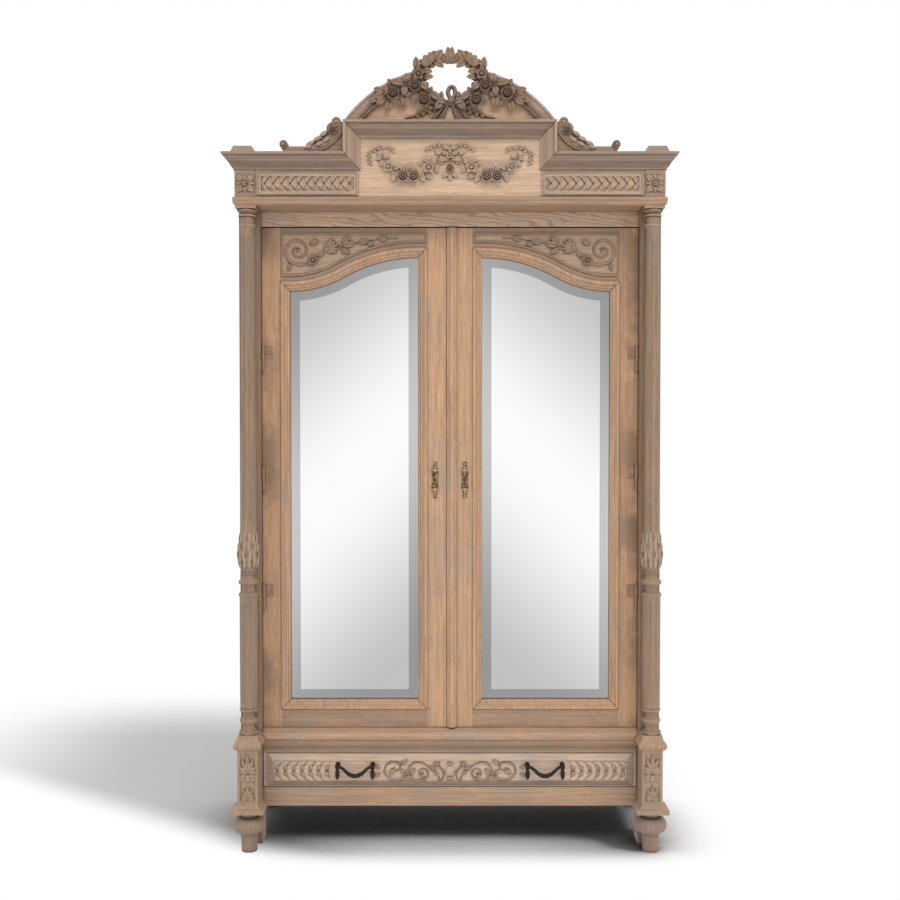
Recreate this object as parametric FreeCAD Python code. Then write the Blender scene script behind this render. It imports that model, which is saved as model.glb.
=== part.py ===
import FreeCAD, Part
import math
import os

# Mirrored oak armoire: two mirrored doors over one long drawer, turned columns on pedestals in
# front of the corner posts, a stepped cornice and an arched pediment with a carved wreath.
# Millimetres. X runs to the right, Y to the back, Z up. The origin is on the floor, under the
# middle of the whole piece. Depths (d) are counted backwards from the face of the pedestals.

V = FreeCAD.Vector

# Carcass
OPENING_WIDTH = 1200.0        # between the corner posts
POST_WIDTH = 64.0
POST_DEPTH = 84.0
REAR_POST_DEPTH = 60.0
CARCASS_DEPTH = 500.0         # pedestal face to back
DOOR_RECESS = 100.0           # pedestal face to door face
BACK_BOARD = 12.0
BACK_SETBACK = 4.0
BACK_BOARD_COUNT = 6
SIDE_RAIL = 26.0
SIDE_SETBACK = 6.0
SIDE_RAIL_HEIGHT = 90.0
SIDE_MID_RAIL_Z = 1090.0
SIDE_PANEL = 10.0
SIDE_FIELD = 6.0
FIELD_BEVEL = 34.0
TONGUE = 8.0

# Heights, from the floor upwards
FOOT_HEIGHT = 127.0
FOOT_CAP_HEIGHT = 30.0
DIE_HEIGHT = 166.0
PEDESTAL_CAP_HEIGHT = 47.0
COLUMN_HEIGHT = 1640.0
ABACUS_HEIGHT = 8.0
ARCHITRAVE_HEIGHT = 24.0
FRIEZE_HEIGHT = 83.0
CORNICE_HEIGHT = 50.0
CENTRE_LIFT = 97.0            # cornice bottom to crown bottom
PEDIMENT_RISE = 168.0
WREATH_CENTRE_LIFT = 123.0    # crown top to wreath centre

# Turned feet, pedestals and columns
FOOT_CAP_OVERHANG = 18.0
PEDESTAL_CAP_OVERHANG = 12.0
DIE_PANEL_BORDER = 9.0
DIE_PANEL_SINK = 2.0
FOOT_BULB_RADIUS = 50.0
FOOT_TAPER_RADIUS = 27.0
FOOT_TOE_RADIUS = 24.5
COLUMN_RING = 31.0
COLUMN_NECK = 18.5
LOWER_SHAFT_RADIUS = 28.0
LOWER_SHAFT_TOP = 432.0       # above the pedestal
FLAME_TOP = 651.0             # above the pedestal
UPPER_SHAFT_RADIUS = 25.5
UPPER_SHAFT_TOP_RADIUS = 21.0
FLUTE_COUNT = 8
FLUTE_RADIUS = 6.0
FLUTE_BITE = 2.6
FLUTE_STOP = 22.0             # plain shaft left at each end
COLUMN_CLEARANCE = 2.0        # column to corner post

# Entablature
ARCHITRAVE_OVERHANG = 7.0
FRIEZE_BOARD = 24.0
CORNICE_PROJECTION = 36.0
CORNICE_REEDS = 4             # fine steps between its two hollows
TOP_BOARD = 16.0
CENTRE_SHARE = 277.0 / 600    # raised middle to width of the door opening
LEAF_FRAME = 13.0
LEAF_MARGIN = 6.0
LEAF_COUNT = 11
LEAF_RELIEF = 4.0
LEAF_GAP = 2.0                # last leaf tip to the end of its band
ROSETTE_BLOCK = 62.0
ROSETTE_THICKNESS = 5.0
ROSETTE_RADIUS = 23.0
CAP_BLOCK_BASE = 76.0
CAP_BLOCK_TOP = 56.0
CAP_BLOCK_HEIGHT = 25.0
BRACKET_TO_CAP = 83.0         # foot of a bracket to its cap block
BRACKET_HEIGHT = 98.0
BRACKET_THICKNESS = 24.0
BRACKET_SCROLLS = (12.6, 14.5)  # radius at the foot and at the top
BRACKET_LOBE = 9.0            # bulge of a leaf lobe
BRACKET_ROSE = 13.5
BRACKET_RELIEF = 4.0
ARCH_BAND = 40.0
ARCH_PROUD = 14.0
TYMPANUM_BACKSET = 4.0
WREATH_RADIUS = 88.0
WREATH_TUBE = 17.0
WREATH_LEAF_REACH = 110.0
WREATH_LEAVES = 14
WREATH_ROSE = 18.0
SPRAY_ROSES = ((46.0, 20.0), (83.0, 18.0), (117.0, 16.0), (148.0, 12.0))  # along the arch, radius
SPRAY_STEM = 7.0
BOW_KNOT = 11.0
BOW_LOOP = 44.0
BOW_TAILS = (-54.0, -33.0, 24.0, 56.0)  # where the ribbon ends meet the crown
BOW_RIBBON = 10.0
BOW_THICKNESS = 9.0
GARLAND_TUBE = 12.0
GARLAND_INNER = 40.0          # middle of the armoire to the inner end of a swag
GARLAND_RIBBON = 34.0
GARLAND_MARGIN = 19.0         # ribbon to the edge of the panel
GARLAND_HANG = 34.0           # crown to the ends of the swags
GARLAND_ROSE = 18.0

# Doors
DOOR_GAP = 1.5
DOOR_HEAD_GAP = 4.0           # doors to the lintel
DOOR_THICKNESS = 24.0
MEETING_X = -10.25            # middle of the gap between the doors
STILE = 58.5
SASH_MOULD = 30.0
SASH_PROUD = 7.0
SIGHT_INNER = 102.0           # middle of the armoire to the inner edge of a mirror
BOTTOM_RAIL = 58.0
TOP_RAIL = 62.0               # at its narrow inner end
OGEE_RISE = 107.5
OGEE_LOW_RADIUS = 350.0
MIRROR_THICKNESS = 5.0
MIRROR_BEVEL = 26.0
MIRROR_EDGE = 2.5
MIRROR_LAP = 26.0
MIRROR_SETBACK = 12.0         # door face to mirror face
SPANDREL_MARGIN = 17.0
SPANDREL_THICKNESS = 5.0
ASTRAGAL_WIDTH = 30.5
ASTRAGAL_PROUD = 11.0
LINTEL_HEIGHT = 48.5
LINTEL_FORWARD = 2.0          # lintel face in front of the doors
STOP_DEPTH = 18.0
STOP_GAP = 1.0
STOP_LAP = 20.0

# Hinges, locks and bolts
HINGE_HEIGHTS = (790.0, 1170.0, 1550.0)
KNUCKLE_RADIUS = 5.0
KNUCKLE_LENGTH = 40.0
KNUCKLE_GAP = 0.3
HINGE_INSET = 5.5             # knuckle centre to post and to door face
PIN_RADIUS = 2.5
PIN_CLEARANCE = 0.05
LEAF_THICKNESS = 1.5
LEAF_WIDTH = 29.0
ESCUTCHEON_HEIGHT = 115.0
ESCUTCHEON_WIDTH = 22.0
ESCUTCHEON_THICKNESS = 3.0
LOCK_Z = 1165.0               # keyhole height
LOCK_CASE = (63.0, 18.0, 90.0)
LOCK_BOLT = (46.0, 8.0, 16.0)
LOCK_THROW = 14.0
LOCK_CLEARANCE = 0.3
KEEPER_WIDTH = 32.0
KEEPER_WALL = 5.0
BOLT_RADIUS = 4.5
BOLT_LENGTH = 200.0
BOLT_THROW = 15.0
BOLT_CLEARANCE = 0.05
BOLT_GUIDE = 15.0
BOLT_STANDOFF = 2.5

# Drawer
WAIST_HEIGHT = 74.0
WAIST_PROUD = 30.0
APRON_BOTTOM = 117.5
APRON_HEIGHT = 60.0
APRON_THICKNESS = 24.0
DRAWER_GAP = 2.0
DRAWER_FRONT = 22.0
DRAWER_SIDE = 14.0
DRAWER_BACK_ROOM = 14.0       # drawer to back boards
DRAWER_SIDE_DROP = 10.0
DRAWER_BOTTOM = 8.0
DRAWER_BOTTOM_LIFT = 9.0
DRAWER_GROOVE = 6.0
DRAWER_FIELD_SINK = 3.0
DRAWER_FIELD_BORDER = (28.0, 16.0, 32.0)  # ends, bottom, top
DRAWER_LEAF_LENGTH = 186.0
DRAWER_LEAF_COUNT = 7
RUNNER_GUIDE = 32.0
RUNNER_SHELF = 28.0
RUNNER_HEIGHT = 20.0
RUNNER_GUIDE_HEIGHT = 50.0
RUNNER_CLEARANCE = 0.3
GUIDE_CLEARANCE = 2.0
PULL_OFFSET = 304.0           # middle of the armoire to the middle of a pull
PULL_SPAN = 112.0
PULL_DROP = 38.0
PULL_RADIUS = 5.0
PULL_REACH = 18.0
PULL_ABOVE_BOTTOM = 75.0
BUTTON_RADIUS = 16.0
BUTTON_PROUD = 9.0

# Inside the cupboard
FLOOR_BOARD = 20.0
SHELF_BOARD = 20.0
SHELF_Z = 1660.0
SHELF_SETBACK = 50.0          # behind the door face
CLEAT = 20.0
CLEAT_HEIGHT = 110.0
RAIL_RADIUS = 14.0
RAIL_DROP = 90.0
RAIL_FROM_BACK = 179.0        # hanging rail to back boards
SOCKET_RADIUS = 26.0
SOCKET_THICKNESS = 10.0
SOCKET_SEAT = 5.0
SOCKET_CLEARANCE = 0.2

# Worked out from the sizes above
HALF_OPENING = OPENING_WIDTH / 2
HALF_OUTER = HALF_OPENING + POST_WIDTH
Y_BACK = (CARCASS_DEPTH + CORNICE_PROJECTION) / 2
Y_FACE = Y_BACK - CARCASS_DEPTH
COLUMN_X = HALF_OPENING + POST_WIDTH / 2
COLUMN_D = POST_WIDTH / 2
POST_D = POST_WIDTH + COLUMN_CLEARANCE
POST_BACK_D = POST_D + POST_DEPTH
REAR_POST_D = CARCASS_DEPTH - REAR_POST_DEPTH
BACK_D = CARCASS_DEPTH - BACK_SETBACK - BACK_BOARD

Z_DIE = FOOT_HEIGHT + FOOT_CAP_HEIGHT
Z_DIE_TOP = Z_DIE + DIE_HEIGHT
Z_COLUMN = Z_DIE_TOP + PEDESTAL_CAP_HEIGHT
Z_ABACUS = Z_COLUMN + COLUMN_HEIGHT
Z_SOFFIT = Z_ABACUS + ABACUS_HEIGHT
Z_FRIEZE = Z_SOFFIT + ARCHITRAVE_HEIGHT
Z_CORNICE = Z_FRIEZE + FRIEZE_HEIGHT
Z_CORNICE_TOP = Z_CORNICE + CORNICE_HEIGHT
Z_CROWN = Z_CORNICE + CENTRE_LIFT
Z_CROWN_TOP = Z_CROWN + CORNICE_HEIGHT
CENTRE_HALF_WIDTH = OPENING_WIDTH / 2 * CENTRE_SHARE  # inner edge of the risers
CENTRE_OUTER = CENTRE_HALF_WIDTH + CORNICE_HEIGHT
CAP_BLOCK_X = HALF_OUTER - FRIEZE_BOARD
BRACKET_LENGTH = CAP_BLOCK_X - CAP_BLOCK_BASE / 2 - BRACKET_TO_CAP - CENTRE_OUTER
GARLAND_RADIUS = (CENTRE_HALF_WIDTH - GARLAND_MARGIN - GARLAND_RIBBON - GARLAND_INNER) / 2
GARLAND_CENTRE = GARLAND_INNER + GARLAND_RADIUS
ARCH_RADIUS = (CENTRE_OUTER ** 2 + PEDIMENT_RISE ** 2) / (2 * PEDIMENT_RISE)
Z_ARCH_CENTRE = Z_CROWN_TOP + PEDIMENT_RISE - ARCH_RADIUS
Z_WREATH = Z_CROWN_TOP + WREATH_CENTRE_LIFT

DOOR_BACK_D = DOOR_RECESS + DOOR_THICKNESS
STOP_D = DOOR_BACK_D + STOP_GAP
Z_LINTEL = Z_SOFFIT - LINTEL_HEIGHT
Z_DOOR = Z_COLUMN + DOOR_GAP
Z_DOOR_TOP = Z_LINTEL - DOOR_HEAD_GAP
DOOR_OUTER = HALF_OPENING - DOOR_GAP
SIGHT_OUTER = DOOR_OUTER - STILE - SASH_MOULD
Z_SIGHT = Z_DOOR + BOTTOM_RAIL + SASH_MOULD
Z_SIGHT_INNER = Z_DOOR_TOP - TOP_RAIL - SASH_MOULD
Z_SIGHT_OUTER = Z_SIGHT_INNER - OGEE_RISE
LEFT_EDGE = MEETING_X - DOOR_GAP / 2
RIGHT_EDGE = MEETING_X + DOOR_GAP / 2
INNER_STILE_X = SIGHT_INNER - SASH_MOULD
HINGE_X = HALF_OPENING - HINGE_INSET
HINGE_D = DOOR_RECESS - HINGE_INSET

Z_WAIST = Z_COLUMN - WAIST_HEIGHT
Z_APRON_TOP = APRON_BOTTOM + APRON_HEIGHT
Z_DRAWER = Z_APRON_TOP + DRAWER_GAP
Z_DRAWER_TOP = Z_WAIST - DRAWER_GAP
DRAWER_HALF = HALF_OPENING - DRAWER_GAP
BOX_HALF = HALF_OPENING - RUNNER_GUIDE - GUIDE_CLEARANCE
BOX_D = DOOR_RECESS + DRAWER_FRONT
DRAWER_LENGTH = BACK_D - DRAWER_BACK_ROOM - BOX_D
RAIL_DEPTH = BACK_D - RAIL_FROM_BACK
REACH = 2 * HALF_OUTER + 2 * CARCASS_DEPTH    # longer than any cut has to be


def at(x, d, z):
    """A point at depth d behind the pedestal face."""
    return V(x, Y_FACE + d, z)


def box(x, d, z):
    """A board between two limits each way, in any order."""
    low = [min(pair) for pair in (x, d, z)]
    size = [abs(pair[1] - pair[0]) for pair in (x, d, z)]
    return Part.makeBox(*size, at(*low))


def mirrored(shape):
    return shape.mirror(V(0, 0, 0), V(1, 0, 0))


def both_sides(shape):
    return [shape, mirrored(shape)]


def outline(place, *steps):
    """A closed wire through points; a step of two points is an arc through the first of them."""
    start = steps[0]
    here = place(*start)
    edges = []
    for step in steps[1:] + (start,):
        if isinstance(step[0], tuple):
            there = place(*step[1])
            edges.append(Part.Arc(here, place(*step[0]), there).toShape())
        else:
            there = place(*step)
            if not there.isEqual(here, 1e-6):
                edges.append(Part.makeLine(here, there))
        here = there
    return Part.Wire(edges)


def board(place, thickness, *steps):
    """An outline in the plane that place gives, thickened along the vector thickness."""
    return Part.Face(outline(place, *steps)).extrude(thickness)


def turned(x, d, *steps):
    """A turning about an upright axis, from radius and height steps."""
    face = Part.Face(outline(lambda r, z: at(x + r, d, z), *steps))
    return face.revolve(at(x, d, 0), V(0, 0, 1), 360)


def trimmed(shape, point, outward):
    """The shape without what lies beyond a plane, on the side that outward points to."""
    cutter = Part.makeBox(4 * REACH, 4 * REACH, 4 * REACH, V(-2 * REACH, -2 * REACH, 0))
    cutter.Placement = FreeCAD.Placement(point, FreeCAD.Rotation(V(0, 0, 1), outward))
    return shape.cut(cutter)


def rod(radius, start, end):
    return Part.makeCylinder(radius, start.distanceToPoint(end), start, end - start)


def fused(shapes):
    return shapes[0].fuse(list(shapes[1:])).removeSplitter()


def save(name, *shapes):
    """Writes one node, which may hold several separate solids."""
    solids = [solid for shape in shapes for solid in shape.Solids]
    Part.Compound(solids).exportStep("parts/" + name + ".step")


def fielded_panel(d, z):
    """A side panel: a thin tongue all round and a bevelled field on the outside."""
    inner_x = HALF_OUTER - SIDE_SETBACK - (SIDE_RAIL + SIDE_PANEL) / 2
    outer_x = inner_x + SIDE_PANEL
    plate = box((inner_x, outer_x), (d[0] - TONGUE, d[1] + TONGUE), (z[0] - TONGUE, z[1] + TONGUE))

    def rectangle(x, inset):
        return outline(lambda a, b: at(x, a, b), (d[0] + inset, z[0] + inset),
                       (d[1] - inset, z[0] + inset), (d[1] - inset, z[1] - inset),
                       (d[0] + inset, z[1] - inset))
    field = Part.makeLoft([rectangle(outer_x, 0), rectangle(outer_x + SIDE_FIELD, FIELD_BEVEL)], True,
                          True)
    return plate.fuse(field).removeSplitter()


def carcass_frame():
    """Corner posts, the framed sides and the boarded back."""
    rail_x = (HALF_OUTER - SIDE_SETBACK - SIDE_RAIL, HALF_OUTER - SIDE_SETBACK)
    span = (POST_BACK_D, REAR_POST_D)
    rail_z = ((APRON_BOTTOM, APRON_BOTTOM + SIDE_RAIL_HEIGHT), (Z_WAIST, Z_COLUMN),
              (SIDE_MID_RAIL_Z, SIDE_MID_RAIL_Z + SIDE_RAIL_HEIGHT),
              (Z_SOFFIT - SIDE_RAIL_HEIGHT, Z_SOFFIT))
    panels = [fielded_panel(span, (low[1], high[0])) for low, high in zip(rail_z, rail_z[1:])]
    rails = [box(rail_x, span, z).cut(panels) for z in rail_z]
    post_x = (HALF_OPENING, HALF_OUTER)
    foot_room = box(post_x, (POST_D, COLUMN_D + FOOT_BULB_RADIUS + COLUMN_CLEARANCE), (0, FOOT_HEIGHT))
    front_post = box(post_x, (POST_D, POST_BACK_D), (0, Z_SOFFIT)).cut(panels + [foot_room])
    rear_post = box(post_x, (REAR_POST_D, CARCASS_DEPTH), (0, Z_SOFFIT)).cut(panels)
    save("front_posts", *both_sides(front_post))
    save("rear_posts", *both_sides(rear_post))
    save("side_rails", *both_sides(Part.Compound(rails)))
    save("side_panels", *both_sides(Part.Compound(panels)))

    width = OPENING_WIDTH / BACK_BOARD_COUNT
    edges = [-HALF_OPENING + width * i for i in range(BACK_BOARD_COUNT)]
    boards = [box((x, x + width), (BACK_D, BACK_D + BACK_BOARD), (APRON_BOTTOM, Z_SOFFIT)) for x in edges]
    save("back_boards", *boards)


def cross_rails():
    """The lintel over the doors, the moulded waist rail, the apron and the door stops."""
    front = DOOR_RECESS - LINTEL_FORWARD
    lintel = box((-HALF_OPENING, HALF_OPENING), (front, STOP_D), (Z_LINTEL, Z_SOFFIT))
    save("lintel", lintel)

    nose = DOOR_RECESS - WAIST_PROUD
    profile = [(STOP_D, Z_COLUMN), (DOOR_RECESS, Z_COLUMN), (nose + 6, Z_COLUMN - 9),
               ((nose, Z_COLUMN - 22), (nose + 6, Z_COLUMN - 35)), (nose + 10, Z_COLUMN - 35),
               ((nose + 12, Z_COLUMN - 54), (nose + 23, Z_COLUMN - 62)), (nose + 23, Z_WAIST),
               (STOP_D, Z_WAIST)]
    waist = board(lambda d, z: at(-HALF_OPENING, d, z), V(OPENING_WIDTH, 0, 0), *profile)
    save("waist_rail", waist)

    apron_d = (DOOR_RECESS - LINTEL_FORWARD, DOOR_RECESS - LINTEL_FORWARD + APRON_THICKNESS)
    save("apron_rail", box((-HALF_OPENING, HALF_OPENING), apron_d, (APRON_BOTTOM, Z_APRON_TOP)))

    stop_x = (-HALF_OPENING, HALF_OPENING)
    stop_d = (STOP_D, STOP_D + STOP_DEPTH)
    hole = BOLT_RADIUS + 2 * PIN_RADIUS / BOLT_RADIUS
    top = box(stop_x, stop_d, (Z_DOOR_TOP - STOP_LAP, Z_SOFFIT))
    bottom = box(stop_x, stop_d, (Z_COLUMN, Z_DOOR + STOP_LAP))
    bolt_x, bolt_d = bolt_place()
    socket = rod(hole, at(bolt_x, bolt_d, Z_COLUMN), at(bolt_x, bolt_d, Z_SOFFIT))
    keep = BOLT_THROW + KNUCKLE_GAP
    top = top.cut(socket.common(box(stop_x, stop_d, (0, Z_DOOR_TOP - STOP_LAP + keep))))
    bottom = bottom.cut(socket.common(box(stop_x, stop_d, (Z_DOOR + STOP_LAP - keep, Z_SOFFIT))))
    save("door_stops", top, bottom)


def bolt_place():
    """Where the two upright bolts run, on the back of the left door's inner stile."""
    return (LEFT_EDGE - INNER_STILE_X) / 2, DOOR_BACK_D + BOLT_STANDOFF + BOLT_RADIUS


def inside():
    """Cupboard floor, hat shelf on its cleats, and the hanging rail in its sockets."""
    save("cupboard_floor", box((-HALF_OPENING, HALF_OPENING), (STOP_D, BACK_D),
                               (Z_COLUMN - FLOOR_BOARD, Z_COLUMN)))
    shelf_d = DOOR_RECESS + SHELF_SETBACK
    save("shelf", box((-HALF_OPENING, HALF_OPENING), (shelf_d, BACK_D), (SHELF_Z - SHELF_BOARD, SHELF_Z)))
    cleat_x = (HALF_OPENING - CLEAT, HALF_OPENING)
    cleat_top = SHELF_Z - SHELF_BOARD
    cleat = box(cleat_x, (STOP_D + STOP_DEPTH, BACK_D), (cleat_top - CLEAT_HEIGHT, cleat_top))
    save("shelf_cleats", *both_sides(cleat))

    rail_z = SHELF_Z - RAIL_DROP
    face = HALF_OPENING - CLEAT
    end = face - SOCKET_THICKNESS + SOCKET_SEAT
    socket = rod(SOCKET_RADIUS, at(face, RAIL_DEPTH, rail_z),
                 at(face - SOCKET_THICKNESS, RAIL_DEPTH, rail_z))
    seat = rod(RAIL_RADIUS + SOCKET_CLEARANCE, at(0, RAIL_DEPTH, rail_z), at(end, RAIL_DEPTH, rail_z))
    save("rail_sockets", *both_sides(socket.cut(seat)))
    save("hanging_rail", rod(RAIL_RADIUS, at(-end, RAIL_DEPTH, rail_z), at(end, RAIL_DEPTH, rail_z)))


def pedestals():
    """Square pedestals with mitred mouldings, and the turned feet under them."""
    half = POST_WIDTH / 2
    low, high = FOOT_CAP_OVERHANG, PEDESTAL_CAP_OVERHANG
    edge = [(low, FOOT_HEIGHT), (low, FOOT_HEIGHT + 14), ((low * 0.3, Z_DIE - 11), (0, Z_DIE)),
            (0, Z_DIE_TOP),
            (high * 0.4, Z_DIE_TOP + 4), ((high, Z_DIE_TOP + 16), (high * 0.4, Z_DIE_TOP + 28)),
            (0, Z_DIE_TOP + 38), (-1, Z_COLUMN)]

    def flipped(step, turn):
        return tuple(map(turn, step)) if isinstance(step[0], tuple) else turn(step)

    def walk_down(steps, turn):
        """The same edge from top to bottom, for the other side of the pedestal."""
        points = [step if not isinstance(step[0], tuple) else step[1] for step in steps]
        back = [turn(points[-1])]
        for step, end in zip(reversed(steps[1:]), reversed(points[:-1])):
            back.append((turn(step[0]), turn(end)) if isinstance(step[0], tuple) else turn(end))
        return back
    right = [flipped(step, lambda p: (COLUMN_X + half + p[0], p[1])) for step in edge]
    left = walk_down(edge, lambda p: (COLUMN_X - half - p[0], p[1]))
    across = board(lambda x, z: at(x, -REACH, z), V(0, 2 * REACH, 0), *(right + left))
    face = walk_down(edge, lambda p: (-p[0], p[1]))
    along = board(lambda d, z: at(0, d, z), V(REACH, 0, 0), (POST_D, FOOT_HEIGHT), (POST_D, Z_COLUMN),
                  *face)
    panel_x = (HALF_OPENING + DIE_PANEL_BORDER, HALF_OUTER - DIE_PANEL_BORDER)
    panel = box(panel_x, (0, DIE_PANEL_SINK), (Z_DIE + DIE_PANEL_BORDER, Z_DIE_TOP - DIE_PANEL_BORDER))
    pedestal = across.common(along).cut(panel)
    save("pedestals", *both_sides(pedestal))

    neck = FOOT_TOE_RADIUS
    foot = turned(COLUMN_X, COLUMN_D, (0, 0), (FOOT_TOE_RADIUS, 0), (FOOT_TAPER_RADIUS, 54),
                  (FOOT_TAPER_RADIUS + 3, 54),
                  (FOOT_TAPER_RADIUS + 3, 59), ((FOOT_BULB_RADIUS, 77), (neck + 12, 106)), (neck, 108),
                  (neck, 112),
                  ((neck + 5, 115), (neck + 9, FOOT_HEIGHT - 4)), (neck + 9, FOOT_HEIGHT),
                  (0, FOOT_HEIGHT))
    save("front_feet", *both_sides(foot))


def flutes(low, high, low_radius, high_radius):
    """Round-ended grooves up a shaft that may taper."""
    cutters = []
    for i in range(FLUTE_COUNT):
        turn = 2 * math.pi * (i + 0.5) / FLUTE_COUNT
        ends = []
        for z, radius in ((low, low_radius), (high, high_radius)):
            reach = radius + FLUTE_RADIUS - FLUTE_BITE
            ends.append(at(COLUMN_X + reach * math.sin(turn), COLUMN_D - reach * math.cos(turn), z))
        ball_low = Part.makeSphere(FLUTE_RADIUS, ends[0])
        ball_high = Part.makeSphere(FLUTE_RADIUS, ends[1])
        cutters.append(rod(FLUTE_RADIUS, *ends).fuse([ball_low, ball_high]))
    return cutters


def columns():
    """One turned column: ringed base, fluted lower shaft, knop, flame bulb, tapering upper shaft, capital."""
    def up(z):
        return Z_COLUMN + z

    def down(z):
        return Z_ABACUS - z
    ring, neck, shaft = COLUMN_RING, COLUMN_NECK, LOWER_SHAFT_RADIUS
    top, flame = LOWER_SHAFT_TOP, FLAME_TOP
    base = [(0, up(0)), (ring - 1, up(0)), ((ring, up(5)), (ring - 1, up(10))), (neck + 5, up(10)),
            ((neck, up(22)), (neck + 5, up(34))), (ring - 5, up(36)),
            ((ring - 1.5, up(43)), (ring - 5, up(50))),
            (neck + 4, up(50)), ((neck - 1, up(60)), (neck + 4, up(70))), (ring - 5, up(72)),
            ((ring - 1.5, up(77)), (ring - 5, up(82))), (shaft - 0.5, up(84)), (shaft, up(top))]
    knop = [(ring - 2, up(top + 1)), ((ring, up(top + 7)), (ring - 2, up(top + 12))),
            (neck + 4, up(top + 12)),
            ((neck, up(top + 25)), (neck + 4, up(top + 38))), (ring - 5, up(top + 38)),
            ((ring, up(top + 46)), (ring - 5, up(top + 54))),
            ((neck + 1, up(top + 61)), (neck, up(top + 70))),
            (neck + 2, up(top + 72)), ((neck + 5, up(top + 75)), (neck + 2, up(top + 78)))]
    bulb = [((ring - 1, up(top + 116)), (UPPER_SHAFT_RADIUS + 1.5, up(flame - 40))),
            (UPPER_SHAFT_RADIUS, up(flame))]
    thin = UPPER_SHAFT_TOP_RADIUS
    capital = [(thin, down(65)), (thin + 0.5, down(60)), ((thin + 3, down(52)), (thin + 0.5, down(44))),
               (thin, down(44)),
               (thin, down(24)), ((thin + 2, down(12)), (ring - 3, down(8))),
               ((ring, down(4)), (ring - 3, down(0))),
               (0, down(0))]
    column = turned(COLUMN_X, COLUMN_D, *(base + knop + bulb + capital))
    span = COLUMN_HEIGHT - 65 - flame
    slope = (UPPER_SHAFT_RADIUS - thin) / span
    grooves = flutes(up(84 + FLUTE_STOP), up(top - FLUTE_STOP), shaft, shaft)
    grooves += flutes(up(flame + FLUTE_STOP), down(65 + FLUTE_STOP),
                      UPPER_SHAFT_RADIUS - slope * FLUTE_STOP,
                      thin + slope * FLUTE_STOP)
    column = column.cut(grooves)
    save("columns", *both_sides(column))


def cornice_profile():
    """The cornice moulding as projection and height steps, from its foot to its top edge."""
    p, h = CORNICE_PROJECTION, CORNICE_HEIGHT
    out, rise = p * 0.2 / CORNICE_REEDS, h * 0.24 / CORNICE_REEDS
    reeds = []
    for i in range(CORNICE_REEDS):
        level = h * 0.22 + rise * i
        reeds += [(p * 0.24 + out * i, level), (p * 0.24 + out * (i + 1), level)]
    return [(0, 0), (p * 0.08, 0), (p * 0.08, h * 0.05), (p * 0.12, h * 0.05),
            ((p * 0.15, h * 0.13), (p * 0.24, h * 0.18)), *reeds,
            (p * 0.44, h * 0.47), (p * 0.5, h * 0.47), ((p * 0.58, h * 0.68), (p * 0.82, h * 0.8)),
            (p * 0.82, h * 0.84), (p * 0.92, h * 0.84), ((p * 0.98, h * 0.87), (p, h * 0.93)), (p, h),
            (-FRIEZE_BOARD, h), (-FRIEZE_BOARD, 0)]


def cornice():
    """The cornice, mitred round the corners and stepped up over the middle panel."""
    steps = cornice_profile()
    inner_foot = at(CENTRE_HALF_WIDTH, 0, Z_CORNICE)
    outer_foot = at(HALF_OUTER, 0, Z_CORNICE)
    crown_foot = at(CENTRE_HALF_WIDTH, 0, Z_CROWN)
    run = board(lambda p, v: at(0, -p, Z_CORNICE + v), V(REACH, 0, 0), *steps)
    run = trimmed(run, inner_foot, V(-1, 0, 1))
    run = trimmed(run, outer_foot, V(1, 1, 0))
    side_return = board(lambda p, v: at(HALF_OUTER + p, -CORNICE_PROJECTION - 1, Z_CORNICE + v),
                        V(0, CARCASS_DEPTH + CORNICE_PROJECTION + 1, 0), *steps)
    side_return = trimmed(side_return, outer_foot, V(-1, -1, 0))
    riser = board(lambda p, v: at(CENTRE_HALF_WIDTH + v, -p, Z_FRIEZE), V(0, 0, REACH), *steps)
    riser = trimmed(riser, inner_foot, V(1, 0, -1))
    riser = trimmed(riser, crown_foot, V(-1, 0, 1))
    crown = board(lambda p, v: at(-REACH / 2, -p, Z_CROWN + v), V(REACH, 0, 0), *steps)
    crown = trimmed(crown, crown_foot, V(1, 0, -1))
    crown = trimmed(crown, at(-CENTRE_HALF_WIDTH, 0, Z_CROWN), V(-1, 0, -1))
    save("cornice_runs", *both_sides(run))
    save("cornice_returns", *both_sides(side_return))
    save("cornice_crown", crown, *both_sides(riser))


def chevrons(place, length, height, count, thickness):
    """A row of leaf pairs that lap along a band and point away from its start."""
    pitch = length / count
    tip = pitch * 0.95
    leaf = pitch * 0.62
    rows = []
    for i in range(count):
        start = pitch * i
        reach = min(start + tip + leaf, length - LEAF_GAP) - start
        rows.append(board(place, thickness, (start, height / 2), (start + leaf, height / 2),
                          (start + reach, 0),
                          (start + leaf, -height / 2), (start, -height / 2), (start + tip * 0.75, 0)))
    return rows


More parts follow.
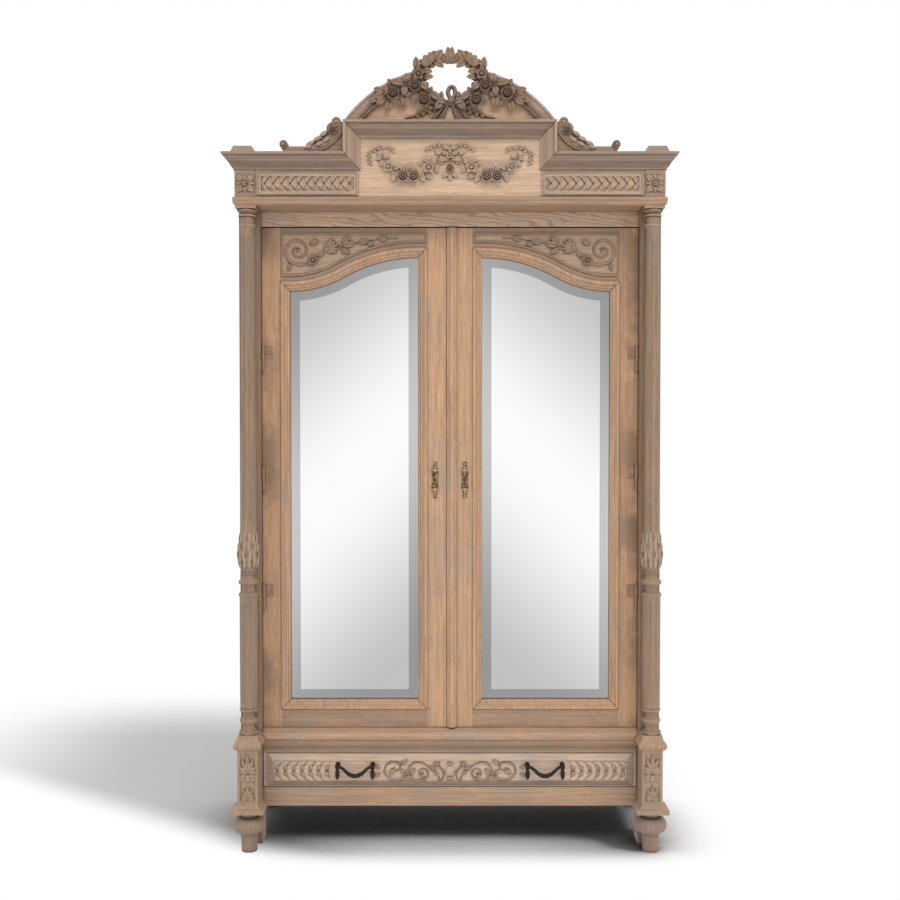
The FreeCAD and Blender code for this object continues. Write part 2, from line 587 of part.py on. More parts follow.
def frieze():
    """The box between the columns and the cornice, with its applied blocks and leaf panels."""
    edge = ARCHITRAVE_OVERHANG
    depth = CARCASS_DEPTH
    half = HALF_OUTER
    lip = [(-1, Z_SOFFIT), ((edge * 0.75, Z_SOFFIT + 5), (edge * 0.8, Z_SOFFIT + 15)),
           (edge, Z_SOFFIT + 15),
           (edge, Z_FRIEZE)]
    other = [(-edge, Z_FRIEZE), (-edge, Z_SOFFIT + 15), (-edge * 0.8, Z_SOFFIT + 15),
             ((-edge * 0.75, Z_SOFFIT + 5), (1, Z_SOFFIT))]

    def moved(step, shift):
        if isinstance(step[0], tuple):
            return tuple((point[0] + shift, point[1]) for point in step)
        return (step[0] + shift, step[1])
    sides = [moved(step, half) for step in lip] + [moved(step, -half) for step in other]
    across = board(lambda x, z: at(x, -edge, z), V(0, depth + edge, 0), *sides)
    along = board(lambda d, z: at(-REACH / 2, d, z), V(REACH, 0, 0), (depth, Z_SOFFIT),
                  (depth, Z_FRIEZE), *other)
    abacus = box((HALF_OPENING, half), (0, POST_WIDTH), (Z_ABACUS, Z_SOFFIT))
    save("architrave", across.common(along), *both_sides(abacus))

    centre = CENTRE_HALF_WIDTH
    save("frieze_board", board(lambda x, z: at(x, 0, z), V(0, FRIEZE_BOARD, 0), (-half, Z_FRIEZE),
                               (half, Z_FRIEZE),
                               (half, Z_CORNICE), (centre, Z_CORNICE), (centre, Z_CROWN),
                               (-centre, Z_CROWN),
                               (-centre, Z_CORNICE), (-half, Z_CORNICE)))
    side = box((half - FRIEZE_BOARD, half), (FRIEZE_BOARD, depth), (Z_FRIEZE, Z_CORNICE))
    back = box((-half + FRIEZE_BOARD, half - FRIEZE_BOARD), (depth - FRIEZE_BOARD, depth),
               (Z_FRIEZE, Z_CORNICE))
    save("frieze_sides", *both_sides(side), back)
    save("top_board", box((-half + FRIEZE_BOARD, half - FRIEZE_BOARD),
                          (FRIEZE_BOARD, depth - FRIEZE_BOARD),
                          (Z_CORNICE - TOP_BOARD, Z_CORNICE)))

    middle_z = (Z_FRIEZE + Z_CORNICE) / 2
    block_x = half - ROSETTE_BLOCK / 2
    thick = ROSETTE_THICKNESS
    block = box((half - ROSETTE_BLOCK, half), (-thick, 0), (Z_FRIEZE, Z_CORNICE))
    petals = [Part.makeSphere(ROSETTE_RADIUS * 0.34,
                              at(block_x + ROSETTE_RADIUS * 0.64 * math.cos(turn), -thick,
                                                         middle_z + ROSETTE_RADIUS * 0.64 * math.sin(turn)))
              for turn in (math.pi * i / 4 for i in range(8))]
    heart = Part.makeSphere(ROSETTE_RADIUS * 0.42, at(block_x, -thick, middle_z))
    flower = trimmed(fused([heart] + petals), at(0, -thick, 0), V(0, 1, 0))
    save("rosette_blocks", *both_sides(block.fuse(flower)))

    start, end = centre + LEAF_MARGIN, half - ROSETTE_BLOCK - LEAF_MARGIN
    low, high = Z_FRIEZE + LEAF_MARGIN, Z_CORNICE - LEAF_MARGIN
    frame = box((start, end), (-LEAF_RELIEF, 0), (low, high))
    field = box((start + LEAF_FRAME, end - LEAF_FRAME), (-LEAF_RELIEF, -1),
                (low + LEAF_FRAME, high - LEAF_FRAME))
    leaves = chevrons(lambda a, b: at(start + LEAF_FRAME + a, -1, middle_z + b),
                      end - start - 2 * LEAF_FRAME,
                      high - low - 2 * LEAF_FRAME, LEAF_COUNT, V(0, 1 - LEAF_RELIEF, 0))
    panel = fused([frame.cut(field)] + leaves)
    save("leaf_panels", *both_sides(panel))


def cap_blocks():
    """Small sloping blocks on the ends of the cornice."""
    middle = CAP_BLOCK_X
    depth = CAP_BLOCK_BASE / 2 - CORNICE_PROJECTION / 3

    def square(size, z):
        half = size / 2
        return outline(lambda a, b: at(middle + a, depth + b, z), (-half, -half), (half, -half),
                       (half, half), (-half, half))
    block = Part.makeLoft([square(CAP_BLOCK_BASE, Z_CORNICE_TOP),
                           square(CAP_BLOCK_TOP, Z_CORNICE_TOP + CAP_BLOCK_HEIGHT)], True, True)
    save("cap_blocks", *both_sides(block))


def scroll_brackets():
    """Scrolled brackets between the cornice and the sides of the middle block."""
    length, height = BRACKET_LENGTH, BRACKET_HEIGHT
    thick = V(0, BRACKET_THICKNESS, 0)

    def place(a, h):
        return at(CENTRE_OUTER + a, 0, Z_CORNICE_TOP + h)

    def disc(a, h, radius, proud):
        return rod(radius, place(a, h) - V(0, proud, 0), place(a, h) + thick)
    bar = height * 0.24
    edge = [(length * a, height * h) for a,
            h in ((0.6, 0.24), (0.47, 0.38), (0.37, 0.53), (0.27, 0.72), (0.18, 1))]
    lobes = []
    for (a, h), (a_next, h_next) in zip(edge, edge[1:]):
        share = BRACKET_LOBE / math.hypot(a_next - a, h_next - h)
        middle = ((a + a_next) / 2 + share * (h_next - h), (h + h_next) / 2 - share * (a_next - a))
        lobes.append((middle, (a_next, h_next)))
    body = board(place, thick, (0, 0), (length, 0), (length - bar / 4, bar), edge[0], *lobes, (0, height))
    relief = BRACKET_RELIEF
    lift = V(0, relief, 0)
    band = board(lambda a, h: place(a, h) - lift, lift, (0, height), (0, height * 0.72),
                 ((length * 0.16, height * 0.36), (length * 0.55, height * 0.08)), (length * 0.6, bar),
                 ((length * 0.26, height * 0.56), (length * 0.13, height)))
    foot_scroll, top_scroll = BRACKET_SCROLLS
    discs = [disc(length - foot_scroll / 2, height * 0.3, foot_scroll, relief),
             disc(length * 0.12, height, top_scroll, 1.5 * relief),
             disc(length * 0.18, height * 0.74, BRACKET_ROSE, 1.8 * relief)]
    bracket = fused([body, band] + discs)
    bracket = trimmed(bracket, at(CENTRE_OUTER, 0, 0), V(-1, 0, 0))
    save("scroll_brackets", *both_sides(bracket))


def pediment():
    """The arched pediment, open behind the wreath, and the crest that lies on it."""
    crown = at(0, 0, Z_CROWN_TOP)
    centre = at(0, 0, Z_ARCH_CENTRE)
    inner = ARCH_RADIUS - ARCH_BAND
    proud = ARCH_PROUD
    across = V(0, 1, 0)

    def about_arch(*steps):
        face = Part.Face(outline(lambda r, d: at(0, d, Z_ARCH_CENTRE + r), *steps))
        return trimmed(face.revolve(centre, across, 360), crown, V(0, 0, -1))
    arch = about_arch((ARCH_RADIUS, FRIEZE_BOARD), (ARCH_RADIUS, -proud), (ARCH_RADIUS - 7, -proud),
                      (ARCH_RADIUS - 7, 3 - proud), ((ARCH_RADIUS - 20, 6 - proud),
                                                     (inner + 9, 11 - proud)),
                      (inner + 8, 8 - proud), (inner, 8 - proud), (inner, FRIEZE_BOARD))
    plate = about_arch((0, TYMPANUM_BACKSET), (inner, TYMPANUM_BACKSET), (inner, FRIEZE_BOARD),
                       (0, FRIEZE_BOARD))
    eye = rod(WREATH_RADIUS - WREATH_TUBE, at(0, -REACH, Z_WREATH), at(0, REACH, Z_WREATH))
    clearing = rod(WREATH_RADIUS + WREATH_TUBE, at(0, -REACH, Z_WREATH), at(0, REACH, Z_WREATH))
    arch = arch.cut(clearing)
    plate = plate.cut(eye)
    save("pediment", plate)
    save("pediment_arch", arch)

    front, back = -WREATH_TUBE - 1, TYMPANUM_BACKSET
    low, high = WREATH_RADIUS - WREATH_TUBE, WREATH_RADIUS + WREATH_TUBE
    section = outline(lambda r, d: at(0, d, Z_WREATH + r), (low, back), (low + 2, 0),
                      ((WREATH_RADIUS, front), (high - 2, 0)),
                      (high, back))
    ring = Part.Face(section).revolve(at(0, 0, Z_WREATH), across, 360)
    leaf_length = WREATH_LEAF_REACH - low
    leaf = board(lambda a, r: at(a, -8, Z_WREATH + r), V(0, 12, 0), (0, low + 4),
                 ((leaf_length * 0.26, low + leaf_length * 0.55), (0, WREATH_LEAF_REACH)),
                 ((-leaf_length * 0.26, low + leaf_length * 0.55), (0, low + 4)))
    leaves = []
    for i in range(WREATH_LEAVES):
        copy = leaf.copy()
        copy.rotate(at(0, 0, Z_WREATH), across, 360.0 * i / WREATH_LEAVES)
        leaves.append(copy)
    path = ARCH_RADIUS - ARCH_BAND * 0.4
    start = math.asin(WREATH_RADIUS / path)
    sprays = []
    for side in (-1, 1):
        for along, radius in SPRAY_ROSES:
            turn = side * (start + along / path)
            rose_at = at(path * math.sin(turn), -proud, Z_ARCH_CENTRE + path * math.cos(turn))
            sprays.append(Part.makeSphere(radius, rose_at))
        circle = Part.makeCircle(SPRAY_STEM, at(0, -proud, Z_ARCH_CENTRE + path), V(1, 0, 0))
        stem = Part.Face(Part.Wire(circle))
        stem.rotate(centre, across, side * math.degrees(start))
        sprays.append(stem.revolve(centre, across, side * math.degrees(SPRAY_ROSES[-1][0] / path)))
        low_rose = at(side * (WREATH_RADIUS - WREATH_ROSE / 2), -WREATH_ROSE / 3,
                      Z_WREATH - WREATH_RADIUS * 0.57)
        sprays.append(Part.makeSphere(WREATH_ROSE, low_rose))
    knot_z = Z_WREATH - WREATH_RADIUS + WREATH_TUBE * 2.3
    thick = BOW_THICKNESS
    rise, wide = BOW_LOOP, BOW_LOOP * 0.3

    def bow(x, z):
        return at(x, -thick, knot_z + z)
    loop = board(bow, V(0, thick, 0), (-wide / 3, 0), ((-wide, rise * 0.55), (0, rise)),
                 ((wide, rise * 0.55), (wide / 3, 0)))
    gap = board(bow, V(0, thick, 0), (0, rise * 0.25), ((-wide * 0.4, rise * 0.55), (0, rise * 0.8)),
                ((wide * 0.4, rise * 0.55), (0, rise * 0.25)))
    tails = []
    foot = Z_CROWN_TOP - knot_z
    half = BOW_RIBBON / 2
    for x in BOW_TAILS:
        tails.append(board(bow, V(0, thick + back, 0), (-half, 0), (half, 0), (x + 2 * half, foot),
                           (x - 2 * half, foot)))
    knot = Part.makeSphere(BOW_KNOT, at(0, -thick / 2, knot_z))
    crest = fused([ring] + leaves + sprays + [loop.cut(gap), knot] + tails)
    crest = trimmed(crest, at(0, FRIEZE_BOARD / 2, 0), across)
    crest = trimmed(crest, crown, V(0, 0, -1))
    save("crest_wreath", crest.cut([arch, plate]))


def garland():
    """Two flower swags with ribbon knots and a middle drop, on the raised frieze panel."""
    middle_z = Z_CROWN - GARLAND_HANG
    pieces = []
    for side in (-1, 1):
        centre = at(side * GARLAND_CENTRE, 0, middle_z)
        ring = Part.makeTorus(GARLAND_RADIUS, GARLAND_TUBE, centre, V(0, 1, 0))
        pieces.append(trimmed(ring, centre + V(0, 0, GARLAND_TUBE), V(0, 0, 1)))
        for turn, smaller in ((-9, 0), (9, 0), (-42, 3), (42, 3), (-70, 4), (70, 4)):
            angle = math.radians(turn)
            pieces.append(Part.makeSphere(GARLAND_ROSE - smaller,
                                          centre + V(GARLAND_RADIUS * math.sin(angle), 0,
                                                     -GARLAND_RADIUS * math.cos(angle))))
        outer = side * (GARLAND_CENTRE + GARLAND_RADIUS)
        pieces.append(board(lambda a, h: at(outer + side * a, -6, middle_z + h), V(0, 6, 0), (-44, 10),
                            ((-6, 28), (34, -8)),
                            (30, -46), (14, -46), (18, -14), ((-6, 12), (-42, -2))))
    bow = board(lambda a, h: at(a, -7, middle_z + h), V(0, 7, 0), (-78, -4), ((0, 34), (78, -4)),
                (70, -12), ((0, 14), (-70, -12)))
    drop = [Part.makeSphere(radius, at(0, 0, middle_z - z)) for z,
            radius in ((0, 17), (26, 15), (50, 16), (74, 13), (94, 9))]
    swags = trimmed(fused(pieces + [bow] + drop), at(0, 0, 0), V(0, 1, 0))
    save("frieze_garland", swags)


def ogee(inset):
    """The curved top of a mirror outline moved inwards: its ends, its turn and both arc middles."""
    total = ((SIGHT_OUTER - SIGHT_INNER) ** 2 + OGEE_RISE ** 2) / (2 * OGEE_RISE)
    low_radius = OGEE_LOW_RADIUS + inset
    high_radius = total - low_radius
    low_centre = V(SIGHT_OUTER, 0, Z_SIGHT_OUTER + OGEE_LOW_RADIUS)
    high_centre = V(SIGHT_INNER, 0, Z_SIGHT_INNER - (total - OGEE_LOW_RADIUS))
    toward = (high_centre - low_centre).normalize()
    outer_top = low_centre + V(-inset, 0, -math.sqrt(low_radius ** 2 - inset ** 2))
    inner_top = high_centre + V(inset, 0, math.sqrt(high_radius ** 2 - inset ** 2))
    turn = low_centre + toward * low_radius

    def on_arc(centre, radius, a, b):
        return centre + ((a + b) / 2 - centre).normalize() * radius
    low_middle = on_arc(low_centre, low_radius, outer_top, turn)
    high_middle = on_arc(high_centre, high_radius, turn, inner_top)
    return [(p.x, p.z) for p in (outer_top, low_middle, turn, high_middle, inner_top)]


def sash(inset, d):
    """The mirror outline of the right door, moved inwards by inset, at depth d."""
    outer_top, low_middle, turn, high_middle, inner_top = ogee(inset)
    return outline(lambda x, z: at(x, d, z), (SIGHT_INNER + inset, Z_SIGHT + inset),
                   (SIGHT_OUTER - inset, Z_SIGHT + inset),
                   outer_top, (low_middle, turn), (high_middle, inner_top))


def ring_between(stations):
    """A closed moulding whose section runs through (inset, depth) stations along the mirror outline."""
    wires = [sash(*station) for station in stations]
    faces = []
    for wire, after in zip(wires, wires[1:] + wires[:1]):
        faces += Part.makeLoft([wire, after], False, True).Faces
    shell = Part.makeShell(faces)
    shell.sewShape()
    return Part.makeSolid(shell)


def escutcheon(x):
    """A pierced lozenge-shaped key plate with scrolled ends."""
    half, wide = ESCUTCHEON_HEIGHT / 2, ESCUTCHEON_WIDTH / 2
    thick = V(0, -ESCUTCHEON_THICKNESS, 0)

    def place(a, h):
        return at(x + a, DOOR_RECESS, LOCK_Z + h)

    def disc(a, h, radius):
        return rod(radius, place(a, h), place(a, h) + thick)
    plate = board(place, thick, (0, half - 4), ((wide * 0.6, half * 0.45), (wide * 0.75, 0)),
                  ((wide * 0.6, -half * 0.45), (0, 4 - half)),
                  ((-wide * 0.6, -half * 0.45), (-wide * 0.75, 0)),
                  ((-wide * 0.6, half * 0.45), (0, half - 4)))
    curls = [disc(side * (wide - 5), h, 5) for side in (-1, 1) for h in (half * 0.36, -half * 0.36)]
    tips = [disc(0, half - 6, 6), disc(0, 6 - half, 6)]
    keyhole = disc(0, 0, 2.6).fuse(board(place, thick, (-1.4, 0), (1.4, 0), (1.4, -9), (-1.4, -9)))
    return fused([plate] + curls + tips).cut(keyhole)


def door_leaf(side, edge):
    """One door, left or right: frame, sash moulding, bevelled mirror, back board and carved spandrel."""
    turn = mirrored if side == "left" else (lambda shape: shape)
    depth = (DOOR_RECESS, DOOR_BACK_D)
    frame_in = SIGHT_INNER - SASH_MOULD
    frame_out = SIGHT_OUTER + SASH_MOULD
    outer = box((frame_out, DOOR_OUTER), depth, (Z_DOOR, Z_DOOR_TOP))
    inner = box((edge, frame_in), depth, (Z_DOOR, Z_DOOR_TOP))
    save(side + "_door_stiles", turn(outer), turn(inner))
    outer_top, low_middle, bend, high_middle, inner_top = ogee(-SASH_MOULD)
    top = board(lambda x, z: at(x, DOOR_RECESS, z), V(0, DOOR_THICKNESS, 0), (frame_in, Z_DOOR_TOP),
                (frame_out, Z_DOOR_TOP),
                outer_top, (low_middle, bend), (high_middle, inner_top))
    bottom = box((frame_in, frame_out), depth, (Z_DOOR, Z_DOOR + BOTTOM_RAIL))
    save(side + "_door_rails", turn(top), turn(bottom))

    face, mould, proud = DOOR_RECESS, SASH_MOULD, SASH_PROUD
    glass_d = face + MIRROR_SETBACK
    moulding = ring_between([(-mould, glass_d), (-mould, face - proud * 0.5), (4 - mould, face - proud),
                             (11 - mould, face - proud),
                             (14 - mould, face - proud * 0.4), (20 - mould, face - proud * 0.25),
                             (-4, face + 4), (0, face + 6),
                             (0, glass_d)])
    save(side + "_door_moulding", turn(moulding))
    back_d = glass_d + MIRROR_THICKNESS
    mirror = Part.makeLoft([sash(-MIRROR_LAP, back_d), sash(-MIRROR_LAP, back_d - MIRROR_EDGE),
                            sash(MIRROR_BEVEL, glass_d)], True, True)
    save(side + "_mirror", turn(mirror))
    backing = Part.Face(sash(-mould, back_d)).extrude(V(0, DOOR_BACK_D - back_d, 0))
    save(side + "_door_back", turn(backing))

    margin = SPANDREL_MARGIN
    outer_top, low_middle, bend, high_middle, inner_top = ogee(-mould - margin)
    low_x, high_x = frame_in + 3, frame_out - 3
    panel = board(lambda x, z: at(x, face - SPANDREL_THICKNESS, z), V(0, SPANDREL_THICKNESS, 0),
                  (frame_in - margin, Z_DOOR_TOP - margin),
                  (frame_out + margin, Z_DOOR_TOP - margin), outer_top, (low_middle, bend),
                  (high_middle, inner_top))
    panel = panel.common(box((low_x, high_x), (0, face), (Z_DOOR, Z_DOOR_TOP)))
    save(side + "_spandrel", turn(panel))
    plate_x = SIGHT_INNER - SASH_MOULD - STILE * 0.42
    save(side + "_escutcheon", turn(escutcheon(plate_x)))


def hinges():
    """Pin hinges in the corners: lower knuckles on the posts, upper ones on the doors."""
    fixed, moving = [], []
    for z in HINGE_HEIGHTS:
        def place(x, d, h):
            return at(x, d, z + h)
        low = rod(KNUCKLE_RADIUS, place(HINGE_X, HINGE_D, -KNUCKLE_LENGTH), place(HINGE_X, HINGE_D, 0))
        pin = rod(PIN_RADIUS, place(HINGE_X, HINGE_D, 0),
                  place(HINGE_X, HINGE_D, KNUCKLE_LENGTH - LEAF_THICKNESS))
        plate = box((HALF_OPENING - LEAF_THICKNESS, HALF_OPENING),
                    (HINGE_D - LEAF_WIDTH * 0.75, HINGE_D), (z - KNUCKLE_LENGTH, z))
        fixed.append(fused([low, pin, plate]))
        top = KNUCKLE_LENGTH + KNUCKLE_GAP
        high = rod(KNUCKLE_RADIUS, place(HINGE_X, HINGE_D, KNUCKLE_GAP), place(HINGE_X, HINGE_D, top))
        leaf = box((HINGE_X - LEAF_WIDTH, HINGE_X), (DOOR_RECESS - LEAF_THICKNESS, DOOR_RECESS),
                   (z + KNUCKLE_GAP, z + top))
        bore = rod(PIN_RADIUS + PIN_CLEARANCE, place(HINGE_X, HINGE_D, 0),
                   place(HINGE_X, HINGE_D, KNUCKLE_LENGTH))
        moving.append(fused([high, leaf]).cut(bore))
    save("post_hinges", *both_sides(Part.Compound(fixed)))
    save("right_door_hinges", *moving)
    save("left_door_hinges", *[mirrored(shape) for shape in moving])


def door_furniture():
    """The astragal, the rim lock with its keeper, and the two bolts that hold the left door."""
    face = DOOR_RECESS
    bead = ASTRAGAL_WIDTH
    proud = ASTRAGAL_PROUD
    astragal = board(lambda x, d: at(RIGHT_EDGE + x, d, Z_DOOR), V(0, 0, Z_DOOR_TOP - Z_DOOR),
                     (0, face), (0, face - proud * 0.5),
                     (bead * 0.2, face - proud * 0.5),
                     ((bead * 0.5, face - proud), (bead * 0.8, face - proud * 0.5)),
                     (bead, face - proud * 0.5), (bead, face))
    save("door_astragal", astragal)

    back = DOOR_BACK_D
    case_w, case_d, case_h = LOCK_CASE
    bolt_w, bolt_d, bolt_h = LOCK_BOLT
    gap = LOCK_CLEARANCE
    bolt_mid = back + case_d / 2
    case_x = RIGHT_EDGE + DOOR_GAP
    case = box((case_x, case_x + case_w), (back, back + case_d),
               (LOCK_Z - case_h / 2, LOCK_Z + case_h / 2))

    def channel(x, play):
        return box(x, (bolt_mid - bolt_d / 2 - play, bolt_mid + bolt_d / 2 + play),
                   (LOCK_Z - bolt_h / 2 - play, LOCK_Z + bolt_h / 2 + play))
    bolt_x = (case_x + 1, case_x + 1 + bolt_w)
    save("lock_case", case.cut(channel((case_x - 1, bolt_x[1] + gap), gap)))
    save("lock_bolt", channel(bolt_x, 0))
    keeper_x = (LEFT_EDGE - DOOR_GAP - KEEPER_WIDTH, LEFT_EDGE - DOOR_GAP)
    wall = KEEPER_WALL
    keeper = box(keeper_x, (back, back + case_d),
                 (LOCK_Z - bolt_h / 2 - 2 * wall, LOCK_Z + bolt_h / 2 + 2 * wall))
    keeper = keeper.cut(channel((bolt_x[0] - LOCK_THROW - 2, bolt_x[0]), 2 * gap))

    x, d = bolt_place()
    clear = BOLT_THROW / 5
    plates = [keeper]
    for name, tip, way in (("top_bolt", Z_DOOR_TOP - STOP_LAP - clear, -1),
                           ("bottom_bolt", Z_DOOR + STOP_LAP + clear, 1)):
        tail = tip + way * BOLT_LENGTH
        shank = rod(BOLT_RADIUS, at(x, d, tip), at(x, d, tail))
        knob_z = (tip + tail) / 2
        knob = rod(BOLT_RADIUS, at(x, d, knob_z), at(x, d + 4 * BOLT_RADIUS, knob_z))
        save(name, fused([shank, knob]))
        bore = rod(BOLT_RADIUS + BOLT_CLEARANCE, at(x, d, Z_DOOR), at(x, d, Z_DOOR_TOP))
        wide = 2 * BOLT_RADIUS
        for z in (tip + way * BOLT_GUIDE, tail - way * 2 * BOLT_GUIDE):
            block = box((x - wide, x + wide), (back, d + BOLT_RADIUS + BOLT_STANDOFF),
                        (z, z + way * BOLT_GUIDE))
            plates.append(block.cut(bore))
    save("left_latch_plates", *plates)


def drawer():
    """The long base drawer with its carved front, box, bottom, runners and pulls."""
    face = DOOR_RECESS
    ends, under, over = DRAWER_FIELD_BORDER
    field_x = DRAWER_HALF - ends
    field_z = (Z_DRAWER + under, Z_DRAWER_TOP - over)
    middle_z = sum(field_z) / 2
    sink = DRAWER_FIELD_SINK
    front = box((-DRAWER_HALF, DRAWER_HALF), (face, BOX_D), (Z_DRAWER, Z_DRAWER_TOP))
    front = front.cut(box((-field_x, field_x), (face, face + sink), field_z))
    height = field_z[1] - field_z[0]
    start = field_x - DRAWER_LEAF_LENGTH
    leaves = chevrons(lambda a, b: at(start + a, face + sink, middle_z + b), DRAWER_LEAF_LENGTH,
                      height - 4, DRAWER_LEAF_COUNT, V(0, -sink, 0))
    leaves += [mirrored(leaf) for leaf in leaves]
    button = turned_across(0, face + sink, middle_z, (0, 0), (BUTTON_RADIUS, 0),
                           ((BUTTON_RADIUS * 0.8, BUTTON_PROUD * 0.8), (0, BUTTON_PROUD)))
    save("drawer_front", fused([front, button] + leaves))

    box_d = (BOX_D, BOX_D + DRAWER_LENGTH)
    box_top = Z_DRAWER_TOP - DRAWER_SIDE_DROP
    floor_z = (Z_DRAWER + DRAWER_BOTTOM_LIFT, Z_DRAWER + DRAWER_BOTTOM_LIFT + DRAWER_BOTTOM)
    inner = BOX_HALF - DRAWER_SIDE
    floor = box((-inner - DRAWER_GROOVE, inner + DRAWER_GROOVE), box_d, floor_z)
    side = box((inner, BOX_HALF), box_d, (Z_DRAWER, box_top)).cut(floor)
    back = box((-inner, inner), (box_d[1] - DRAWER_SIDE, box_d[1]), (floor_z[1], box_top))
    save("drawer_box", *both_sides(side), back)
    save("drawer_bottom", floor)

    top = Z_DRAWER - RUNNER_CLEARANCE
    run = (DOOR_RECESS - LINTEL_FORWARD + APRON_THICKNESS, BACK_D)
    shelf = box((HALF_OPENING - RUNNER_GUIDE - RUNNER_SHELF, HALF_OPENING), run,
                (top - RUNNER_HEIGHT, top))
    guide = box((HALF_OPENING - RUNNER_GUIDE, HALF_OPENING), run, (top, top + RUNNER_GUIDE_HEIGHT))
    save("drawer_runners", *both_sides(shelf.fuse(guide).removeSplitter()))

    save("drawer_pulls", *both_sides(swag_pull(face)))


def turned_across(x, d, z, *steps):
    """A turning about an axis that points forwards, from radius and height-off-the-face steps."""
    face = Part.Face(outline(lambda r, h: at(x + r, d - h, z), *steps))
    return face.revolve(at(x, d, z), V(0, 1, 0), 360)


def swag_pull(face):
    """One fixed cast pull: a draped bar between two posts, with a tassel under each post."""
    half = PULL_SPAN / 2
    post_z = Z_DRAWER + PULL_ABOVE_BOTTOM
    ground = face + DRAWER_FIELD_SINK
    bar_d = face - PULL_REACH
    radius = (half ** 2 + PULL_DROP ** 2) / (2 * PULL_DROP)
    centre = at(PULL_OFFSET, bar_d, post_z - PULL_DROP + radius)
    swing = 2 * math.degrees(math.asin(half / radius))
    start = at(PULL_OFFSET - half, bar_d, post_z)
    tangent = V(0, 1, 0).cross(start - centre)
    bar = Part.Face(Part.Wire(Part.makeCircle(PULL_RADIUS, start, tangent))).revolve(centre,
                                                                                     V(0, -1, 0), swing)
    pieces = [bar]
    for side in (-1, 1):
        x = PULL_OFFSET + side * half
        pieces.append(turned_across(x, ground, post_z, (0, 0), (1.3 * PULL_RADIUS, 0),
                                    (1.3 * PULL_RADIUS, 2),
                                    (PULL_RADIUS, 4), (PULL_RADIUS, ground - bar_d), (0, ground - bar_d)))
        pieces.append(Part.makeSphere(PULL_RADIUS * 1.5, at(x, bar_d, post_z)))
        pieces.append(Part.makeCone(PULL_RADIUS * 1.3, PULL_RADIUS * 0.8, PULL_DROP + PULL_RADIUS,
                                    at(x, bar_d, post_z - PULL_DROP - PULL_RADIUS)))
    return fused(pieces)


def main():
    os.makedirs("parts", exist_ok=True)
    carcass_frame()
    cross_rails()
    inside()
    pedestals()
    columns()
    frieze()
    cornice()
    cap_blocks()
    scroll_brackets()
    pediment()
    garland()
    door_leaf("right", RIGHT_EDGE)
    door_leaf("left", -LEFT_EDGE)
    hinges()
    door_furniture()
    drawer()


main()
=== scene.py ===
"""Dresses a carved oak armoire with two mirrored doors: its finishes, its carving and a plain studio."""

import math

import bmesh
import bpy
from bpy.props import FloatProperty, FloatVectorProperty, PointerProperty
from bpy.types import Operator, Panel, PropertyGroup
from mathutils import Matrix, Vector


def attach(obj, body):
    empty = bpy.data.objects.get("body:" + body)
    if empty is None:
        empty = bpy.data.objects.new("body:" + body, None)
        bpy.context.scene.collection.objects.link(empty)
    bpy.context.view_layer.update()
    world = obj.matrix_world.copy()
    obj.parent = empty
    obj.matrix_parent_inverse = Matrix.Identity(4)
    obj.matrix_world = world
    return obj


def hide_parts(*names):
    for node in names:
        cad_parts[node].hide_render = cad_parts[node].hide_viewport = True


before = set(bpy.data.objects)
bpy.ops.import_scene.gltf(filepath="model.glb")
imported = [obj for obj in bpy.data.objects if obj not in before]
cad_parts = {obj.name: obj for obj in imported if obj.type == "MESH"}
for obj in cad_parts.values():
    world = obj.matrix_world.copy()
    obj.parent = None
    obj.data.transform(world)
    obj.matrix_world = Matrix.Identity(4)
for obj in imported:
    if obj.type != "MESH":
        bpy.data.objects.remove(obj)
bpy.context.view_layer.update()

bl_info = {
    "name": "Carved mirrored armoire",
    "version": (1, 0, 0),
    "blender": (4, 5, 0),
    "location": "View3D > Sidebar > Armoire",
    "description": "Finishes and carving of a two-door mirrored armoire",
    "category": "Object",
}

MM = 0.001
# Millimetres, for the carving
WREATH_Z, WREATH_RADIUS = 2395.0, 88.0      # middle and radius of the crest wreath
ARCH_DROP, ARCH_INNER = 357.0, 361.0        # the arch's middle below the wreath's, its inner radius
COLUMN_X, COLUMN_Y = 632.0, -200.0
BRACKET_X, BRACKET_Z = -327.0, 2175.0
ROSETTE_X, ROSETTE_Z = -631.0, 2083.5
PULL_X = -304.0
KEY_X, KEY_Z = -47.4, 1165.0
# Metres: the y of the faces that carry carving, and sizes that the finishes draw from
CREST_FACE, GARLAND_FACE, FRIEZE_FACE = -0.230, -0.232, -0.2335
BRACKET_FACE, ROSETTE_FACE, PEDESTAL_FACE = -0.235, -0.236, -0.231
SPANDREL_FACE, KEY_FACE, PULL_FACE = -0.137, -0.1345, -0.150
DRAWER_FACE, DRAWER_BAND_FACE = -0.129, -0.1295
CORNICE_FOOT, CROWN_FOOT, MIDDLE_HALF = 2.125, 2.222, 0.277
REED = 0.0032                               # half the pitch of the reeds on the cornice
SIGHT = (0.102, 0.510, 0.4595)              # inner, outer and lower sight edge of a mirror
LOW_ARC, HIGH_ARC = (0.510, 2.116, 0.350), (0.102, 1.3955, 0.478)   # x, z and radius of its top edge
SASH_TURN, ARC_FOOT = 0.3375, 1.6           # x where the arcs meet, height below which they don't count
BEVEL = 0.030                               # width of the ground edge of a mirror
BACK_BOARD = 0.2                            # width of a board of the back
# The mirror's painted reflection is brightest along a band with this slant and height
GLARE_SLANT, GLARE_Z = 0.88, 1.455          # slant of the bright band in a mirror, its height at the middle


def colour(label, words, default):
    return FloatVectorProperty(name=label, description=words, default=default, subtype="COLOR", min=0, max=1)


def number(label, words, default, subtype="NONE"):
    return FloatProperty(name=label, description=words, default=default, subtype=subtype)


